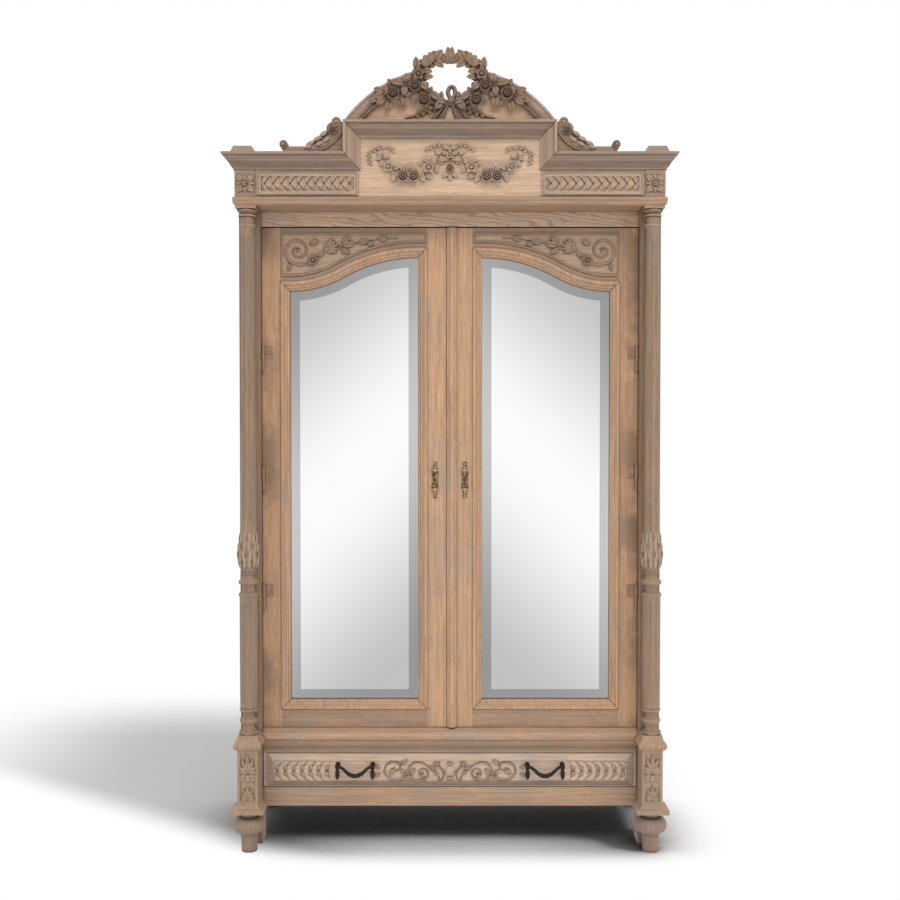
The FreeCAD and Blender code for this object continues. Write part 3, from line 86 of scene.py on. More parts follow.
class ArmoireFinishes(PropertyGroup):
    """Colours of the woods and metals, the mirror's painted reflection, and the dirt and painted shade of
    hollows.
    """

    door_oak: colour("Door oak", "Pale warm oak of the doors", (0.598, 0.359, 0.208))
    rail_oak: colour("Rail oak", "Oak of the rails round the drawer and in the doors", (0.45, 0.285, 0.18))
    frieze_oak: colour("Frieze oak", "Pale oak of the frieze and the lintel", (0.55, 0.375, 0.255))
    case_oak: colour("Case oak", "Greyer oak of the columns and pedestals", (0.36, 0.235, 0.151))
    cornice_oak: colour("Cornice oak", "Dull oak of the mouldings at the top", (0.388, 0.272, 0.197))
    crest_oak: colour("Crest oak", "Dark oak of the crest", (0.31, 0.197, 0.125))
    carved_oak: colour("Carved oak", "Oak of the spandrels", (0.36, 0.25, 0.17))
    pale_carving: colour("Pale carving", "Oak of most of the carving", (0.46, 0.322, 0.22))
    garland_oak: colour("Garland oak", "Palest oak, of the flower swags", (0.56, 0.395, 0.272))
    drawer_oak: colour("Drawer oak", "Pale grey oak of the drawer front", (0.68, 0.492, 0.358))
    inner_wood: colour("Inner wood", "Plain wood of the back, shelf and drawer", (0.48, 0.345, 0.215))
    # Old dirt and painted shade: hollows, creases, corners and recesses are darkened towards this colour
    hollow_dirt_and_shade: colour("Hollows", "Old dirt in hollows and corners", (0.07, 0.048, 0.036))
    brass: colour("Brass", "Aged brass of the key plates", (0.15, 0.105, 0.05))
    bronze: colour("Bronze", "Dark bronze of the drawer pulls", (0.05, 0.042, 0.037))
    hinge: colour("Hinges", "Brown paint of the hinges", (0.36, 0.225, 0.14))
    iron: colour("Iron", "Iron of the lock and bolts", (0.16, 0.15, 0.14))
    # Brightest colour of the mirror's painted reflection, and how much darker its painted reflection is on
    # the bevel
    painted_reflection: colour("Mirror", "Brightest part of the mirror", (0.965, 0.965, 0.968))
    bevel: number("Mirror bevel", "How much the ground edge dims", 0.41)
    floor: colour("Floor", "Studio floor", (0.53, 0.53, 0.53))


class ArmoireCarving(PropertyGroup):
    """Sizes of the carved ornament."""

    ribbon: number("Ribbon", "Width of a ribbon", 0.009, "DISTANCE")
    stem: number("Stem", "Width of a carved stem", 0.0075, "DISTANCE")


class ArmoireStage(PropertyGroup):
    """Camera and light of the studio."""

    distance: number("Camera distance", "Camera to the middle of the armoire", 3.642, "DISTANCE")
    height: number("Camera height", "Camera above the floor", 1.338, "DISTANCE")
    tilt: number("Camera tilt", "Downward tilt", math.radians(1.27), "ANGLE")
    lens: number("Lens", "Focal length in millimetres", 44.0)
    sky: number("Sky", "Strength of the light from above", 1.2)
    horizon: number("Horizon", "Strength of the light from the sides", 0.62)
    key: number("Key light", "Power of the light in front and above", 44.0)
    side: number("Side light", "Power of the light for the floor shadow", 460.0)


class Value:
    """One output of a finish's nodes; sums on values add Math nodes."""

    def __init__(self, finish, socket):
        self.finish = finish
        self.socket = socket

    def sum(self, operation, other=0.0):
        return self.finish.node("ShaderNodeMath", {"operation": operation}, {0: self, 1: other})

    def __add__(self, other):
        return self.sum("ADD", other)

    def __sub__(self, other):
        return self.sum("SUBTRACT", other)

    def __rsub__(self, other):
        return self * -1 + other

    def __mul__(self, other):
        return self.sum("MULTIPLY", other)

    def __abs__(self):
        return self.sum("ABSOLUTE")

    __radd__ = __add__
    __rmul__ = __mul__


class Finish:
    """A procedural material and the nodes it is made of."""

    def __init__(self, name, owner=None):
        self.owner = owner or bpy.data.materials.new(name)
        self.owner.use_nodes = True
        self.tree = self.owner.node_tree
        self.shader = self.tree.nodes.get("Principled BSDF")

    def node(self, kind, settings, sockets, out=0):
        node = self.tree.nodes.new(kind)
        for key, value in settings.items():
            setattr(node, key, value)
        for key, value in sockets.items():
            self.feed(node.inputs[key], value)
        return Value(self, node.outputs[out])

    def feed(self, socket, value):
        if isinstance(value, Value):
            self.tree.links.new(value.socket, socket)
        elif socket.type == "RGBA":
            socket.default_value = (*value[:3], 1)
        else:
            socket.default_value = value

    def set(self, **sockets):
        for key, value in sockets.items():
            self.feed(self.shader.inputs[key.replace("_", " ")], value)

    def place(self, scale=(1, 1, 1), turn=(0, 0, 0), shift=(0, 0, 0)):
        return self.node("ShaderNodeMapping", {}, {"Vector": self.coordinate("Object"), "Scale": scale,
                                                   "Rotation": turn, "Location": shift})

    def noise(self, place, scale, detail=4, rough=0.55):
        return self.node("ShaderNodeTexNoise", {},
                         {"Vector": place, "Scale": scale, "Detail": detail, "Roughness": rough})

    def between(self, value, low, high, start=0.0, end=1.0):
        return self.node("ShaderNodeMapRange", {"interpolation_type": "SMOOTHSTEP"},
                         {"Value": value, "From Min": low, "From Max": high, "To Min": start, "To Max": end})

    def blend(self, share, first, second):
        return self.node("ShaderNodeMix", {"data_type": "RGBA"}, {0: share, 6: first, 7: second}, 2)

    def split(self, vector, axis):
        return self.node("ShaderNodeSeparateXYZ", {}, {0: vector}, axis)

    def coordinate(self, kind):
        return self.node("ShaderNodeTexCoord", {}, {}, kind)

    def ray(self, kind):
        return self.node("ShaderNodeLightPath", {}, {}, "Is %s Ray" % kind)

    def open_air(self, reach, samples, local=False):
        """How free a point is of walls near it: 1 in the open, 0 deep in a hollow."""
        return self.node("ShaderNodeAmbientOcclusion", {"samples": samples, "only_local": local},
                         {"Distance": reach}, "AO")

    def bump(self, height, strength, distance):
        normal = self.node("ShaderNodeBump", {},
                           {"Height": height, "Strength": strength, "Distance": distance}, "Normal")
        self.set(Normal=normal)


def shade(tone, share):
    return tuple(min(1.0, part * share) for part in tone)


# A slight slant of the rings to the grain, in radians
TILT = {"X": (0.0, 0.03, 0.05), "Y": (0.03, 0.0, 0.05), "Z": (0.05, 0.04, 0.0)}


def stretch(grain, share):
    """A scale that draws a pattern out along the grain."""
    return tuple(share if axis == grain else 1.0 for axis in "XYZ")


def front_place(finish):
    """How far a point is from the middle of the armoire, and its height."""
    place = finish.place()
    return abs(finish.split(place, "X")), finish.split(place, "Z")


def reed_lines(finish):
    """Thin dark lines along the cornice, partly dirt and partly painted shade in its reeds' grooves, its
    mitres, and where its paler risers are.
    """
    x, z = front_place(finish)
    run, riser, crown = z - CORNICE_FOOT, x - MIDDLE_HALF, z - CROWN_FOOT
    out = crown.sum("MAXIMUM", run.sum("MINIMUM", riser))
    line = finish.between(out.sum("PINGPONG", REED), 0.0012, 0.0002)
    line = line * finish.between(out, 0.005, 0.007) * finish.between(out, 0.043, 0.041)
    face = finish.between(out, -0.001, 0.001)
    mitre = face * finish.between(abs(crown - riser).sum("MINIMUM", abs(run - riser)), 0.0022, 0.0008)
    upright = face * finish.between(run - riser, 0.0, 0.002) * finish.between(riser - crown, 0.0, 0.002)
    return (0.55 * line).sum("MAXIMUM", 0.8 * mitre), 0.55 * upright


def sash_inset(finish):
    """How far a point is inside the sight edge of a mirror, and how far it is from a mitre."""
    x, z = front_place(finish)
    flat = finish.node("ShaderNodeCombineXYZ", {}, {"X": x, "Z": z})
    low, high = (finish.node("ShaderNodeVectorMath", {"operation": "DISTANCE"},
                             {0: flat, 1: (u, 0, v)}, "Value") for u, v, radius in (LOW_ARC, HIGH_ARC))
    outer = x.sum("GREATER_THAN", SASH_TURN)
    top = outer * (low - LOW_ARC[2]) + (1 - outer) * (HIGH_ARC[2] - high) + z.sum("LESS_THAN", ARC_FOOT)
    side = (x - SIGHT[0]).sum("MINIMUM", SIGHT[1] - x)
    end = top.sum("MINIMUM", z - SIGHT[2])
    return side.sum("MINIMUM", end), abs(side - end)


def sash_lines(finish):
    """Thin dark lines along the sash moulding, partly dirt and partly painted shade in its grooves, and its
    mitres.
    """
    inset, corner = sash_inset(finish)
    line = finish.between((inset + 0.002).sum("PINGPONG", 0.003), 0.0013, 0.0002)
    line = line * finish.between(inset, -0.024, -0.022)
    return (0.6 * line).sum("MAXIMUM", 0.8 * finish.between(corner, 0.0024, 0.0008)), 0.0


def board_lines(finish):
    """The joints between the boards of the back."""
    x = front_place(finish)[0]
    return 0.8 * finish.between(x.sum("PINGPONG", BACK_BOARD / 2), 0.003, 0.001), 0.0


def oak(name, tone, grain, dirt_and_shade_share=0.0, shift=0.0, figure=0.25, reach=0.011, flame=0.045, lines=None,
        creased=0.0, edge=0.0, painted_shadow=None):
    """Stripped oak with fine grain, open pores, flame figure, grey patches, and hollows darker with dirt and
    painted shade.
    """
    finish = Finish(name)
    place = finish.place(stretch(grain, 0.045), shift=(shift, 0.7 * shift, 1.3 * shift))
    streak = finish.noise(place, 130, 5, 0.6)
    line = finish.noise(place, 460, 3)
    wood = finish.blend(finish.between(0.55 * streak + 0.45 * line, 0.36, 0.64), shade(tone, 0.8),
                        shade(tone, 1.13))
    swirls = flame > 0.1
    ring_place = finish.place(stretch(grain, flame), TILT[grain], (0.21 + shift, 0.34, 0.17 + shift))
    rings = finish.node("ShaderNodeTexWave",
                        {"wave_type": "RINGS", "rings_direction": "SPHERICAL" if swirls else grain},
                        {"Vector": ring_place, "Scale": 24 if swirls else 17, "Detail": 3,
                         "Distortion": 14 if swirls else 9, "Detail Scale": 1.2 if swirls else 2.0})
    soft = finish.noise(finish.place(shift=(shift, 0, shift)), 5.5, 5, 0.62)
    wood = finish.blend(figure * finish.between(rings, 0.6, 0.98) * finish.between(soft, 0.35, 0.6), wood,
                        shade(tone, 0.42))
    grey = sum(tone) / 3
    wash = tuple(0.5 * part + 0.42 * grey for part in tone)
    wood = finish.blend(finish.between(soft, 0.42, 0.7, 0.0, 0.6), wood, wash)
    spots = finish.noise(finish.place(stretch(grain, 0.3)), 38, 5, 0.7)
    wood = finish.blend(finish.between(spots, 0.52, 0.75, 0.0, 0.45), wood, shade(tone, 0.6))
    pores = finish.between(finish.noise(finish.place(stretch(grain, 0.08)), 620, 2), 0.58, 0.72)
    wood = finish.blend(0.5 * pores, wood, shade(tone, 0.4))
    if dirt_and_shade_share:
        dirt_and_shade = tuple(bpy.context.scene.armoire_finishes.hollow_dirt_and_shade)
        # Hollows, corners and recesses darken where little is open around them: partly old dirt, partly
        # painted shade
        wood = finish.blend(finish.between(finish.open_air(reach, 5), 0.3, 0.92, dirt_and_shade_share, 0.0), wood, dirt_and_shade)
        if lines:
            # Drawn lines: dark grooves (dirt and painted shade), dark mitres and joints, and paler risers
            dark, pale = lines(finish)
            wood = finish.blend(dark, finish.blend(pale, wood, shade(tone, 1.35)), dirt_and_shade)
        # A painted shadow, growing from its top to its foot, as below the crown and below the bead of the
        # waist rail
        if painted_shadow:
            top, foot, share = painted_shadow
            shadow = finish.between(front_place(finish)[1], top, foot, 0.0, share)
            wood = finish.blend(shadow, wood, shade(tone, 0.4))
        # Crease marks of the carved forms: painted shade and dirt along ribs, stalks, rims and the feet of
        # strokes
        if creased:
            marks = finish.node("ShaderNodeAttribute", {"attribute_name": "crease"}, {}, "Fac")
            wood = finish.blend(creased * marks, wood, dirt_and_shade)
        # Painted shade on the outer stiles, patchy, where the columns beside them shade them
        if edge:
            patchy_painted_shade = finish.between(soft, 0.4, 0.64, 0.3 * edge, 1.7 * edge)
            outer = finish.between(front_place(finish)[0], 0.5, 0.6)
            wood = finish.blend(outer * patchy_painted_shade, wood, shade(tone, 0.4))
    finish.set(Base_Color=wood, Roughness=0.74 - 0.2 * line)
    finish.bump(0.5 * line + 0.3 * streak - 0.6 * pores, 0.35, 0.0008)
    return finish.owner


def mirror_glass():
    """Silvered glass with a painted reflection: bright along a slanting band and darker away from it, dimmer
    on the ground edge.
    """
    tones = bpy.context.scene.armoire_finishes
    finish = Finish("mirror_glass")
    x, z = front_place(finish)
    away = abs(z + GLARE_SLANT * x - GLARE_Z)
    painted_reflection = finish.blend(finish.between(away, 0.04, 0.78), tuple(tones.painted_reflection), shade(tones.painted_reflection, 0.55))
    facing = finish.split(finish.coordinate("Normal"), "Y")
    inset, corner = sash_inset(finish)
    # The ground edge, its mitres and the lines at its edges take a darker painted reflection
    edge = finish.between(inset, BEVEL + 0.0005, BEVEL - 0.0005)
    ground = edge.sum("MAXIMUM", finish.between(abs(facing), 0.9999, 0.9985))
    mitre = ground * finish.between(corner, 0.002, 0.0005)
    line = mitre.sum("MAXIMUM", finish.between(abs(inset - BEVEL), 0.002, 0.0005))
    painted_mirror = finish.blend(tones.bevel * ground + 0.1 * line, painted_reflection, (0, 0, 0))
    finish.set(Base_Color=painted_mirror, Metallic=1.0, Roughness=0.04)
    return finish.owner


def metal(name, tone, roughness, wear, metallic=0.9, rubbed_from=0.2, rubbed_to=0.6):
    """Old metal, bare or painted: rubbed high places, dull dark hollows."""
    finish = Finish(name)
    grime = finish.noise(finish.place(), 190, 5, 0.65)
    rubbed = finish.between(grime * finish.open_air(0.004, 6, True), rubbed_from, rubbed_to)
    finish.set(Base_Color=finish.blend(rubbed, shade(tone, 0.2), shade(tone, wear)), Metallic=metallic,
               Roughness=roughness + 0.2 * grime)
    finish.bump(grime, 0.2, 0.0006)
    return finish.owner


def deselect():
    if bpy.context.mode != "OBJECT":
        bpy.ops.object.mode_set(mode="OBJECT")
    bpy.ops.object.select_all(action="DESELECT")


def pick(test):
    """Selects the points of the mesh in edit mode whose place passes a test."""
    mesh = bpy.context.object.data
    points = bmesh.from_edit_mesh(mesh)
    for point in points.verts:
        point.select_set(bool(test(point.co)))
    points.select_flush_mode()
    bmesh.update_edit_mesh(mesh)


def apply_modifier(kind, **settings):
    piece = bpy.context.object
    modifier = piece.modifiers.new(kind.lower(), kind)
    for key, value in settings.items():
        setattr(modifier, key, value)
    bpy.ops.object.modifier_apply(modifier=modifier.name)


def crease(test):
    """Marks how much painted shade and dirt each point of the active mesh takes, from its place."""
    mesh = bpy.context.object.data
    marks = mesh.attributes.new("crease", "FLOAT", "POINT")
    marks.data.foreach_set("value", [test(point.co) for point in mesh.vertices])


def kept_mesh(name):
    """Takes the active object away and keeps its mesh, to copy from."""
    piece = bpy.context.object
    mesh = piece.data
    mesh.name = name
    bpy.data.objects.remove(piece)
    return mesh


def stamp(mesh, place):
    """A copy of a carved form, with its own mesh, at a place."""
    copy = bpy.data.objects.new(mesh.name, mesh.copy())
    copy.data.transform(place)
    if place.determinant() < 0:
        copy.data.flip_normals()
    bpy.context.collection.objects.link(copy)
    return copy


def join(parts):
    deselect()
    for part in parts:
        part.select_set(True)
    bpy.context.view_layer.objects.active = parts[0]
    if len(parts) > 1:
        bpy.ops.object.join()
    return bpy.context.object


def blade(name, widths, lifts, rib=-0.45, droop=-0.6, thick=0.55, vein=1.0, rim=0.85):
    """A leaf or petal one unit long: a grid narrowed row by row, ribbed and turned down at its edges."""
    deselect()
    rows = len(widths) - 1
    bpy.ops.mesh.primitive_grid_add(x_subdivisions=4, y_subdivisions=rows, size=1)
    bpy.ops.object.mode_set(mode="EDIT")
    bpy.ops.transform.translate(value=(0, 0.5, 0))
    pick(lambda co: abs(co.x) < 0.1)
    bpy.ops.transform.translate(value=(0, 0, rib))
    pick(lambda co: abs(co.x) > 0.4)
    bpy.ops.transform.translate(value=(0, 0, droop))
    for row, (width, lift) in enumerate(zip(widths, lifts)):
        level = row / rows
        pick(lambda co: abs(co.y - level) < 0.02)
        bpy.ops.transform.resize(value=(width, 1, 1), center_override=(0, level, 0))
        bpy.ops.transform.translate(value=(0, 0, lift))
    bpy.ops.object.mode_set(mode="OBJECT")
    apply_modifier("SOLIDIFY", thickness=thick, offset=-1)
    apply_modifier("SUBSURF", levels=1, render_levels=1)

    def dirt_and_shade(co):
        """Painted shade and dirt along the rib, at the stalk and along the rim."""
        spot = rows * min(max(co.y, 0.0), 0.999)
        wide = widths[int(spot)] + (widths[int(spot) + 1] - widths[int(spot)]) * (spot % 1)
        edge = rim if abs(co.x) > 0.4 * wide else 0.0
        return max(edge, vein if abs(co.x) < 0.03 else vein * max(0.0, 0.9 - 3.5 * co.y))
    crease(dirt_and_shade)
    return kept_mesh(name)


def berry_form(name, dirt_and_shade):
    """A round berry with a dimple where its stalk was."""
    deselect()
    bpy.ops.mesh.primitive_uv_sphere_add(segments=10, ring_count=7, radius=1)
    bpy.ops.object.mode_set(mode="EDIT")
    pick(lambda co: co.z > 0.98)
    bpy.ops.transform.translate(value=(0, 0, -0.3))
    bpy.ops.object.mode_set(mode="OBJECT")
    # One share of painted shade and dirt over the whole berry
    crease(lambda co: dirt_and_shade)
    return kept_mesh(name)


def turned(angle, axis="Z"):
    return Matrix.Rotation(math.radians(angle), 4, axis)


def ring_of(mesh, count, out, rise, lean, size, turn=0.0):
    """Copies of a petal round an axis."""
    copies = []
    for i in range(count):
        place = turned(turn + 360 * i / count) @ Matrix.Translation((0, out, rise)) @ turned(lean, "X")
        copies.append(stamp(mesh, place @ Matrix.Diagonal((*size, 1))))
    return copies


def sized(mesh, size, turn=0.0, spot=(0, 0, 0)):
    """A copy of a form, sized, turned in its plane and set on a spot."""
    return stamp(mesh, Matrix.Translation(spot) @ turned(turn) @ Matrix.Diagonal((*size, 1)))


def joined_form(name, parts):
    join(parts)
    return kept_mesh(name)


# Rings of petals (as ring_of takes them), then the lift, width and height of two berries in the middle
FLOWER_FORMS = {
    "rose": (((5, 0.12, 0.1, 12, (0.95, 0.85, 0.6)), (4, 0.1, 0.25, 38, (0.78, 0.66, 0.6), 30),
              (3, 0.05, 0.35, 62, (0.55, 0.5, 0.5), 10)), ((0.42, 0.36, 0.45), (0, 0.6, 0.35))),
    "bloom": (((5, 0.1, 0.1, 14, (1.05, 0.9, 0.6)), (4, 0.06, 0.28, 30, (0.8, 0.62, 0.6), 25)),
              ((0.4, 0.4, 0.34), (0, 0.6, 0.35))),
    "daisy": (((5, 0.1, 0.12, 14, (0.72, 0.9, 0.5)),), ((0.28, 0.3, 0.28), (0, 0.35, 0.25))),
}


def carved_forms():
    """The leaves, petals, flowers and buds that the carving repeats."""
    leaf = blade("leaf", (0.3, 0.78, 0.95, 1.12, 1.0, 1.08, 0.84, 0.56, 0.05),
                 (0, 0.45, 0.75, 0.95, 1.05, 1.05, 0.95, 0.75, 0.4))
    bay = blade("bay", (0.2, 0.7, 0.92, 1.0, 0.9, 0.6, 0.06), (0.2, 0.6, 0.9, 1.0, 0.9, 0.6, 0.1), rib=-0.1,
                vein=0.0)
    sprig = blade("sprig", (0.4, 0.95, 1.0, 0.1), (0.2, 0.8, 0.9, 0.3), -0.1, -0.3, vein=0.2, rim=0.5)
    petal = blade("petal", (0.4, 0.82, 1.0, 0.92, 0.5), (0, 0.1, 0.28, 0.55, 0.7), -0.1, 0.22, thick=0.16,
                  vein=0.4, rim=0.45)
    berry = berry_form("berry", 0.0)
    # The drilled form is a berry dark all over: painted shade standing in for a drilled hole
    made = {"leaf": leaf, "bay": bay, "sprig": sprig, "berry": berry, "drilled": berry_form("drilled", 1.0)}
    for name, (rings, hearts) in FLOWER_FORMS.items():
        parts = [copy for ring in rings for copy in ring_of(petal, *ring)]
        parts += [sized(berry, (width, width, height), 0, (0, 0, lift)) for lift, width, height in hearts]
        made[name] = joined_form(name, parts)
    egg = [sized(bay, (0.72, 1.0, 0.5), 80 * out, (-out, 0.05, 0.1)) for out in (0.2, -0.2)]
    made["egg"] = joined_form("egg", egg + [sized(bay, (0.8, 1.12, 0.4))])
    bud = [sized(bay, (0.36, 1.0 - 0.1 * abs(turn) / 44, 0.45), turn) for turn in (-44, -22, 0, 22, 44)]
    bud += [sized(leaf, (0.4, 0.6, 0.4), turn) for turn in (-60, 60)]
    made["bud"] = joined_form("bud", bud + [sized(berry, (0.28, 0.2, 0.4))])
    return made


def flat_face(y, u=0.0, v=0.0):
    """Millimetres on an upright face, from a spot on it: u is x, v is z and w stands out of the face."""
    return Matrix.Translation((u * MM, y, v * MM)) @ turned(90, "X") @ Matrix.Scale(MM, 4)


def other_side(base):
    return Matrix.Scale(-1, 4, (1, 0, 0)) @ base


def column_face(side, turn):
    """As flat_face, with w out from the axis of a column and turned round it."""
    axis = Matrix.Translation((side * COLUMN_X * MM, COLUMN_Y * MM, 0))
    return axis @ turned(turn) @ flat_face(0)


def around(radius, angle):
    return radius * math.cos(math.radians(angle)), radius * math.sin(math.radians(angle))


def coil(u, v, outer, inner, start, sweep, steps=14):
    """Points of a scroll that winds inwards from a start angle, with a tapering share."""
    points = []
    for i in range(steps + 1):
        share = i / steps
        across, up = around(outer + (inner - outer) * share, start + sweep * share)
        points.append((u + across, v + up, 1 - 0.45 * share))
    return points


def bead(u, v, end_u, end_v):
    """Three points along a straight line."""
    return (u, v), (0.5 * (u + end_u), 0.5 * (v + end_v)), (end_u, end_v)


class Relief:
    """Carving in millimetres on one or more faces; each form is copied to every face."""

    def __init__(self, *bases):
        self.bases = bases
        self.parts = []

    def put(self, form, u, v, turn, size, lift=0.0, lean=0.0):
        mesh = forms()[form] if isinstance(form, str) else form
        spot = Matrix.Translation((u, v, lift)) @ turned(turn) @ turned(lean, "X")
        for base in self.bases:
            self.parts.append(stamp(mesh, base @ spot @ Matrix.Diagonal((*size, 1))))

    def leaf(self, u, v, turn, long, width, lift=0.0, lean=0.0, depth=0.0, form="leaf"):
        self.put(form, u, v, turn, (1.08 * width, 1.1 * long, depth or 0.24 * long), lift, lean)

    def flower(self, form, u, v, radius, lift=0.0):
        self.put(form, u, v, 0, (radius, radius, radius), lift)

    def stroke(self, points, width, depth, lift=0.0):
        """A stem, ribbon or scroll: a smooth curve with a round edge, pressed to its depth."""
        deselect()
        bpy.ops.curve.primitive_nurbs_path_add()
        line = bpy.context.object.data
        line.splines.clear()
        spline = line.splines.new("NURBS")
        spline.points.add(len(points) - 1)
        for point, (u, v, *share) in zip(spline.points, points):
            point.co = (u, v, 0, 1)
            point.radius = share[0] if share else 1
        spline.order_u = 3
        spline.use_endpoint_u = True
        line.dimensions = "3D"
        line.resolution_u = 4
        line.bevel_depth = width / 2
        line.bevel_resolution = 2
        line.use_fill_caps = True
        bpy.ops.object.convert(target="MESH")
        # The lower part of the stroke, where it meets the ground, takes painted shade and dirt
        crease(lambda co: 0.7 if co.z < 0.3 * width else 0.0)
        self.put(kept_mesh("stroke"), 0, 0, 0, (1, 1, depth / width), lift)

    def frill(self, points, long, width, depth, lift=0.0):
        """A gathered ribbon: a thin band with small leaves to either side all along it."""
        self.stroke(points, 0.5 * width, depth, lift)
        for (u, v), (end_u, end_v) in zip(points, points[1:]):
            steps = max(1, round(math.hypot(end_u - u, end_v - v) / (0.62 * long)))
            way = math.degrees(math.atan2(end_v - v, end_u - u)) - 90
            for i in range(steps):
                share = (i + 0.2) / steps
                turn = way + (42 if i % 2 else -42)
                self.leaf(u + share * (end_u - u), v + share * (end_v - v), turn, long, 0.7 * long, lift, 8,
                          0.6 * depth, "sprig")

    def finish(self, name, body, material=None, slot="carved_oak", nodes=()):
        """Joins the carving into one piece that rides on a body, and hides the nodes it stands for."""
        piece = join(self.parts)
        piece.name = name
        piece.data.name = name
        piece.data.materials.clear()
        piece.data.materials.append(material or carved("pale_carving"))
        bpy.ops.object.shade_smooth_by_angle(angle=math.radians(50))
        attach(piece, body)
        if nodes:
            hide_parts(*nodes)


def both_sides(y, u=0.0, v=0.0):
    """Carving on the left of the armoire and its mirror image on the right."""
    base = flat_face(y, u, v)
    return Relief(base, other_side(base))


def each_side(y, u=0.0, v=0.0):
    """As both_sides, with a carving of its own for each door."""
    base = flat_face(y, u, v)
    return ("left", Relief(base)), ("right", Relief(other_side(base)))


def forms():
    """The carved forms, made at the first call and then shared."""
    if not KEPT_FORMS:
        KEPT_FORMS.update(carved_forms())
    return KEPT_FORMS


def carved(wood):
    """An oak of the carving, made at the first call and then shared."""
    if wood not in KEPT_OAK:
        tone = getattr(bpy.context.scene.armoire_finishes, wood)
        dirt_and_shade_share, reach = (0.95, 0.014) if wood in ("crest_oak", "carved_oak") else (0.85, 0.009)
        creased = 0.5 if wood == "garland_oak" else 0.7
        KEPT_OAK[wood] = oak(wood, tuple(tone), "X", dirt_and_shade_share, figure=0.1, reach=reach, creased=creased)
    return KEPT_OAK[wood]


KEPT_FORMS = {}
KEPT_OAK = {}

# Wood, grain, figure and lightness of the joinery's nodes; the lightness is partly the oak's own tone and
# partly painted light, as on the lintel, lightened against the shade of the cornice above it
OAK_NODES = {
    ("door_oak", "Z", 0.3, 1.0): ("left_door_stiles", "right_door_stiles", "door_astragal"),
    ("door_oak", "Z", 0.35, 1.06): ("left_door_moulding", "right_door_moulding"),
    ("rail_oak", "X", 0.3, 1.19): ("waist_rail",),
    ("rail_oak", "X", 0.32, 1.12): ("apron_rail",),
    ("rail_oak", "X", 0.3, 0.95): ("left_door_rails", "right_door_rails"),
    ("case_oak", "Z", 0.2, 1.0): ("front_posts", "rear_posts", "columns", "front_feet", "side_panels"),
    ("case_oak", "Z", 0.2, 1.22): ("pedestals",),
    ("frieze_oak", "X", 0.25, 1.22): ("frieze_board",),
    ("drawer_oak", "X", 0.25, 1.0): ("drawer_front",),
    ("frieze_oak", "X", 0.25, 0.98): ("leaf_panels",),
    ("frieze_oak", "X", 0.9, 1.3): ("lintel",),
    ("cornice_oak", "X", 0.1, 1.0): ("cornice_runs", "cornice_crown", "cap_blocks"),
    ("cornice_oak", "X", 0.1, 1.2): ("pediment_arch",),
    ("rail_oak", "X", 0.2, 1.55): ("pediment",),
    ("rail_oak", "X", 0.1, 1.0): ("architrave",),
    ("case_oak", "X", 0.2, 1.08): ("rosette_blocks", "scroll_brackets"),
    ("case_oak", "X", 0.2, 1.34): ("left_spandrel", "right_spandrel"),
    ("cornice_oak", "Y", 0.1, 1.0): ("cornice_returns",),
    ("case_oak", "Y", 0.2, 1.0): ("frieze_sides", "side_rails"),
    ("inner_wood", "X", 0.3, 1.0): ("cupboard_floor", "drawer_bottom", "shelf", "top_board", "hanging_rail"),
    ("inner_wood", "Y", 0.3, 1.0): ("drawer_box", "drawer_runners", "shelf_cleats", "rail_sockets"),
    ("inner_wood", "Z", 0.3, 1.0): ("back_boards",),
    ("inner_wood", "Z", 0.28, 1.0): ("door_stops", "left_door_back", "right_door_back"),
}
# What single nodes or woods have of their own: drawn lines, dirt and painted shade in the hollows, the reach
# of a hollow in metres, and the top, foot and share of a painted shadow
LINED = {"cornice_runs": reed_lines, "cornice_returns": reed_lines, "pediment_arch": reed_lines,
         "left_door_moulding": sash_lines, "back_boards": board_lines}
DIRT_AND_SHADE_SHARES = {"inner_wood": 0.0, "frieze_oak": 0.6, "drawer_oak": 0.6, "pedestals": 0.5, "back_boards": 0.5}
REACH = {"cornice_oak": 0.005, "door_oak": 0.006}
SHADED = {"waist_rail": (0.334, 0.326, 0.45), "frieze_board": (2.2, 2.218, 0.5)}
MIRROR_NODES = ("left_mirror", "right_mirror")
BRASS_NODES = ("left_escutcheon", "right_escutcheon")
HINGE_NODES = ("left_door_hinges", "right_door_hinges", "post_hinges")
IRON_NODES = ("lock_case", "lock_bolt", "left_latch_plates", "top_bolt", "bottom_bolt")


def paint(nodes, material):
    for node in nodes:
        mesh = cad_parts[node].data
        for i in range(len(mesh.materials)):
            mesh.materials[i] = material


class ARMOIRE_OT_finishes(Operator):
    """Give the joinery its oak, its mirrors and its metal"""

    bl_idname = "armoire.finishes"
    bl_label = "Finish the Joinery"

    def execute(self, context):
        tones = context.scene.armoire_finishes
        for i, ((wood, grain, figure, light), nodes) in enumerate(OAK_NODES.items()):
            first = nodes[0]
            name = "%s_%s_%d" % (wood, grain.lower(), i)
            dirt_and_shade_share = DIRT_AND_SHADE_SHARES.get(first, DIRT_AND_SHADE_SHARES.get(wood, 0.9))
            # Only the doors' stiles take painted shade on their outer side
            edge = 0.52 if first == "left_door_stiles" else 0.0
            flame = 0.22 if figure > 0.5 else 0.045
            paint(nodes, oak(name, shade(getattr(tones, wood), light), grain, dirt_and_shade_share, 0.37 * i, figure,
                             REACH.get(wood, 0.011), flame, LINED.get(first), edge=edge,
                             painted_shadow=SHADED.get(first)))
        paint(MIRROR_NODES, mirror_glass())
        paint(BRASS_NODES, metal("aged_brass", tones.brass, 0.32, 4.5, rubbed_from=0.46, rubbed_to=0.66))
        paint(HINGE_NODES, metal("painted_hinge", tones.hinge, 0.6, 1.1, metallic=0.0))
        paint(IRON_NODES, metal("lock_iron", tones.iron, 0.45, 1.2))
        return {"FINISHED"}


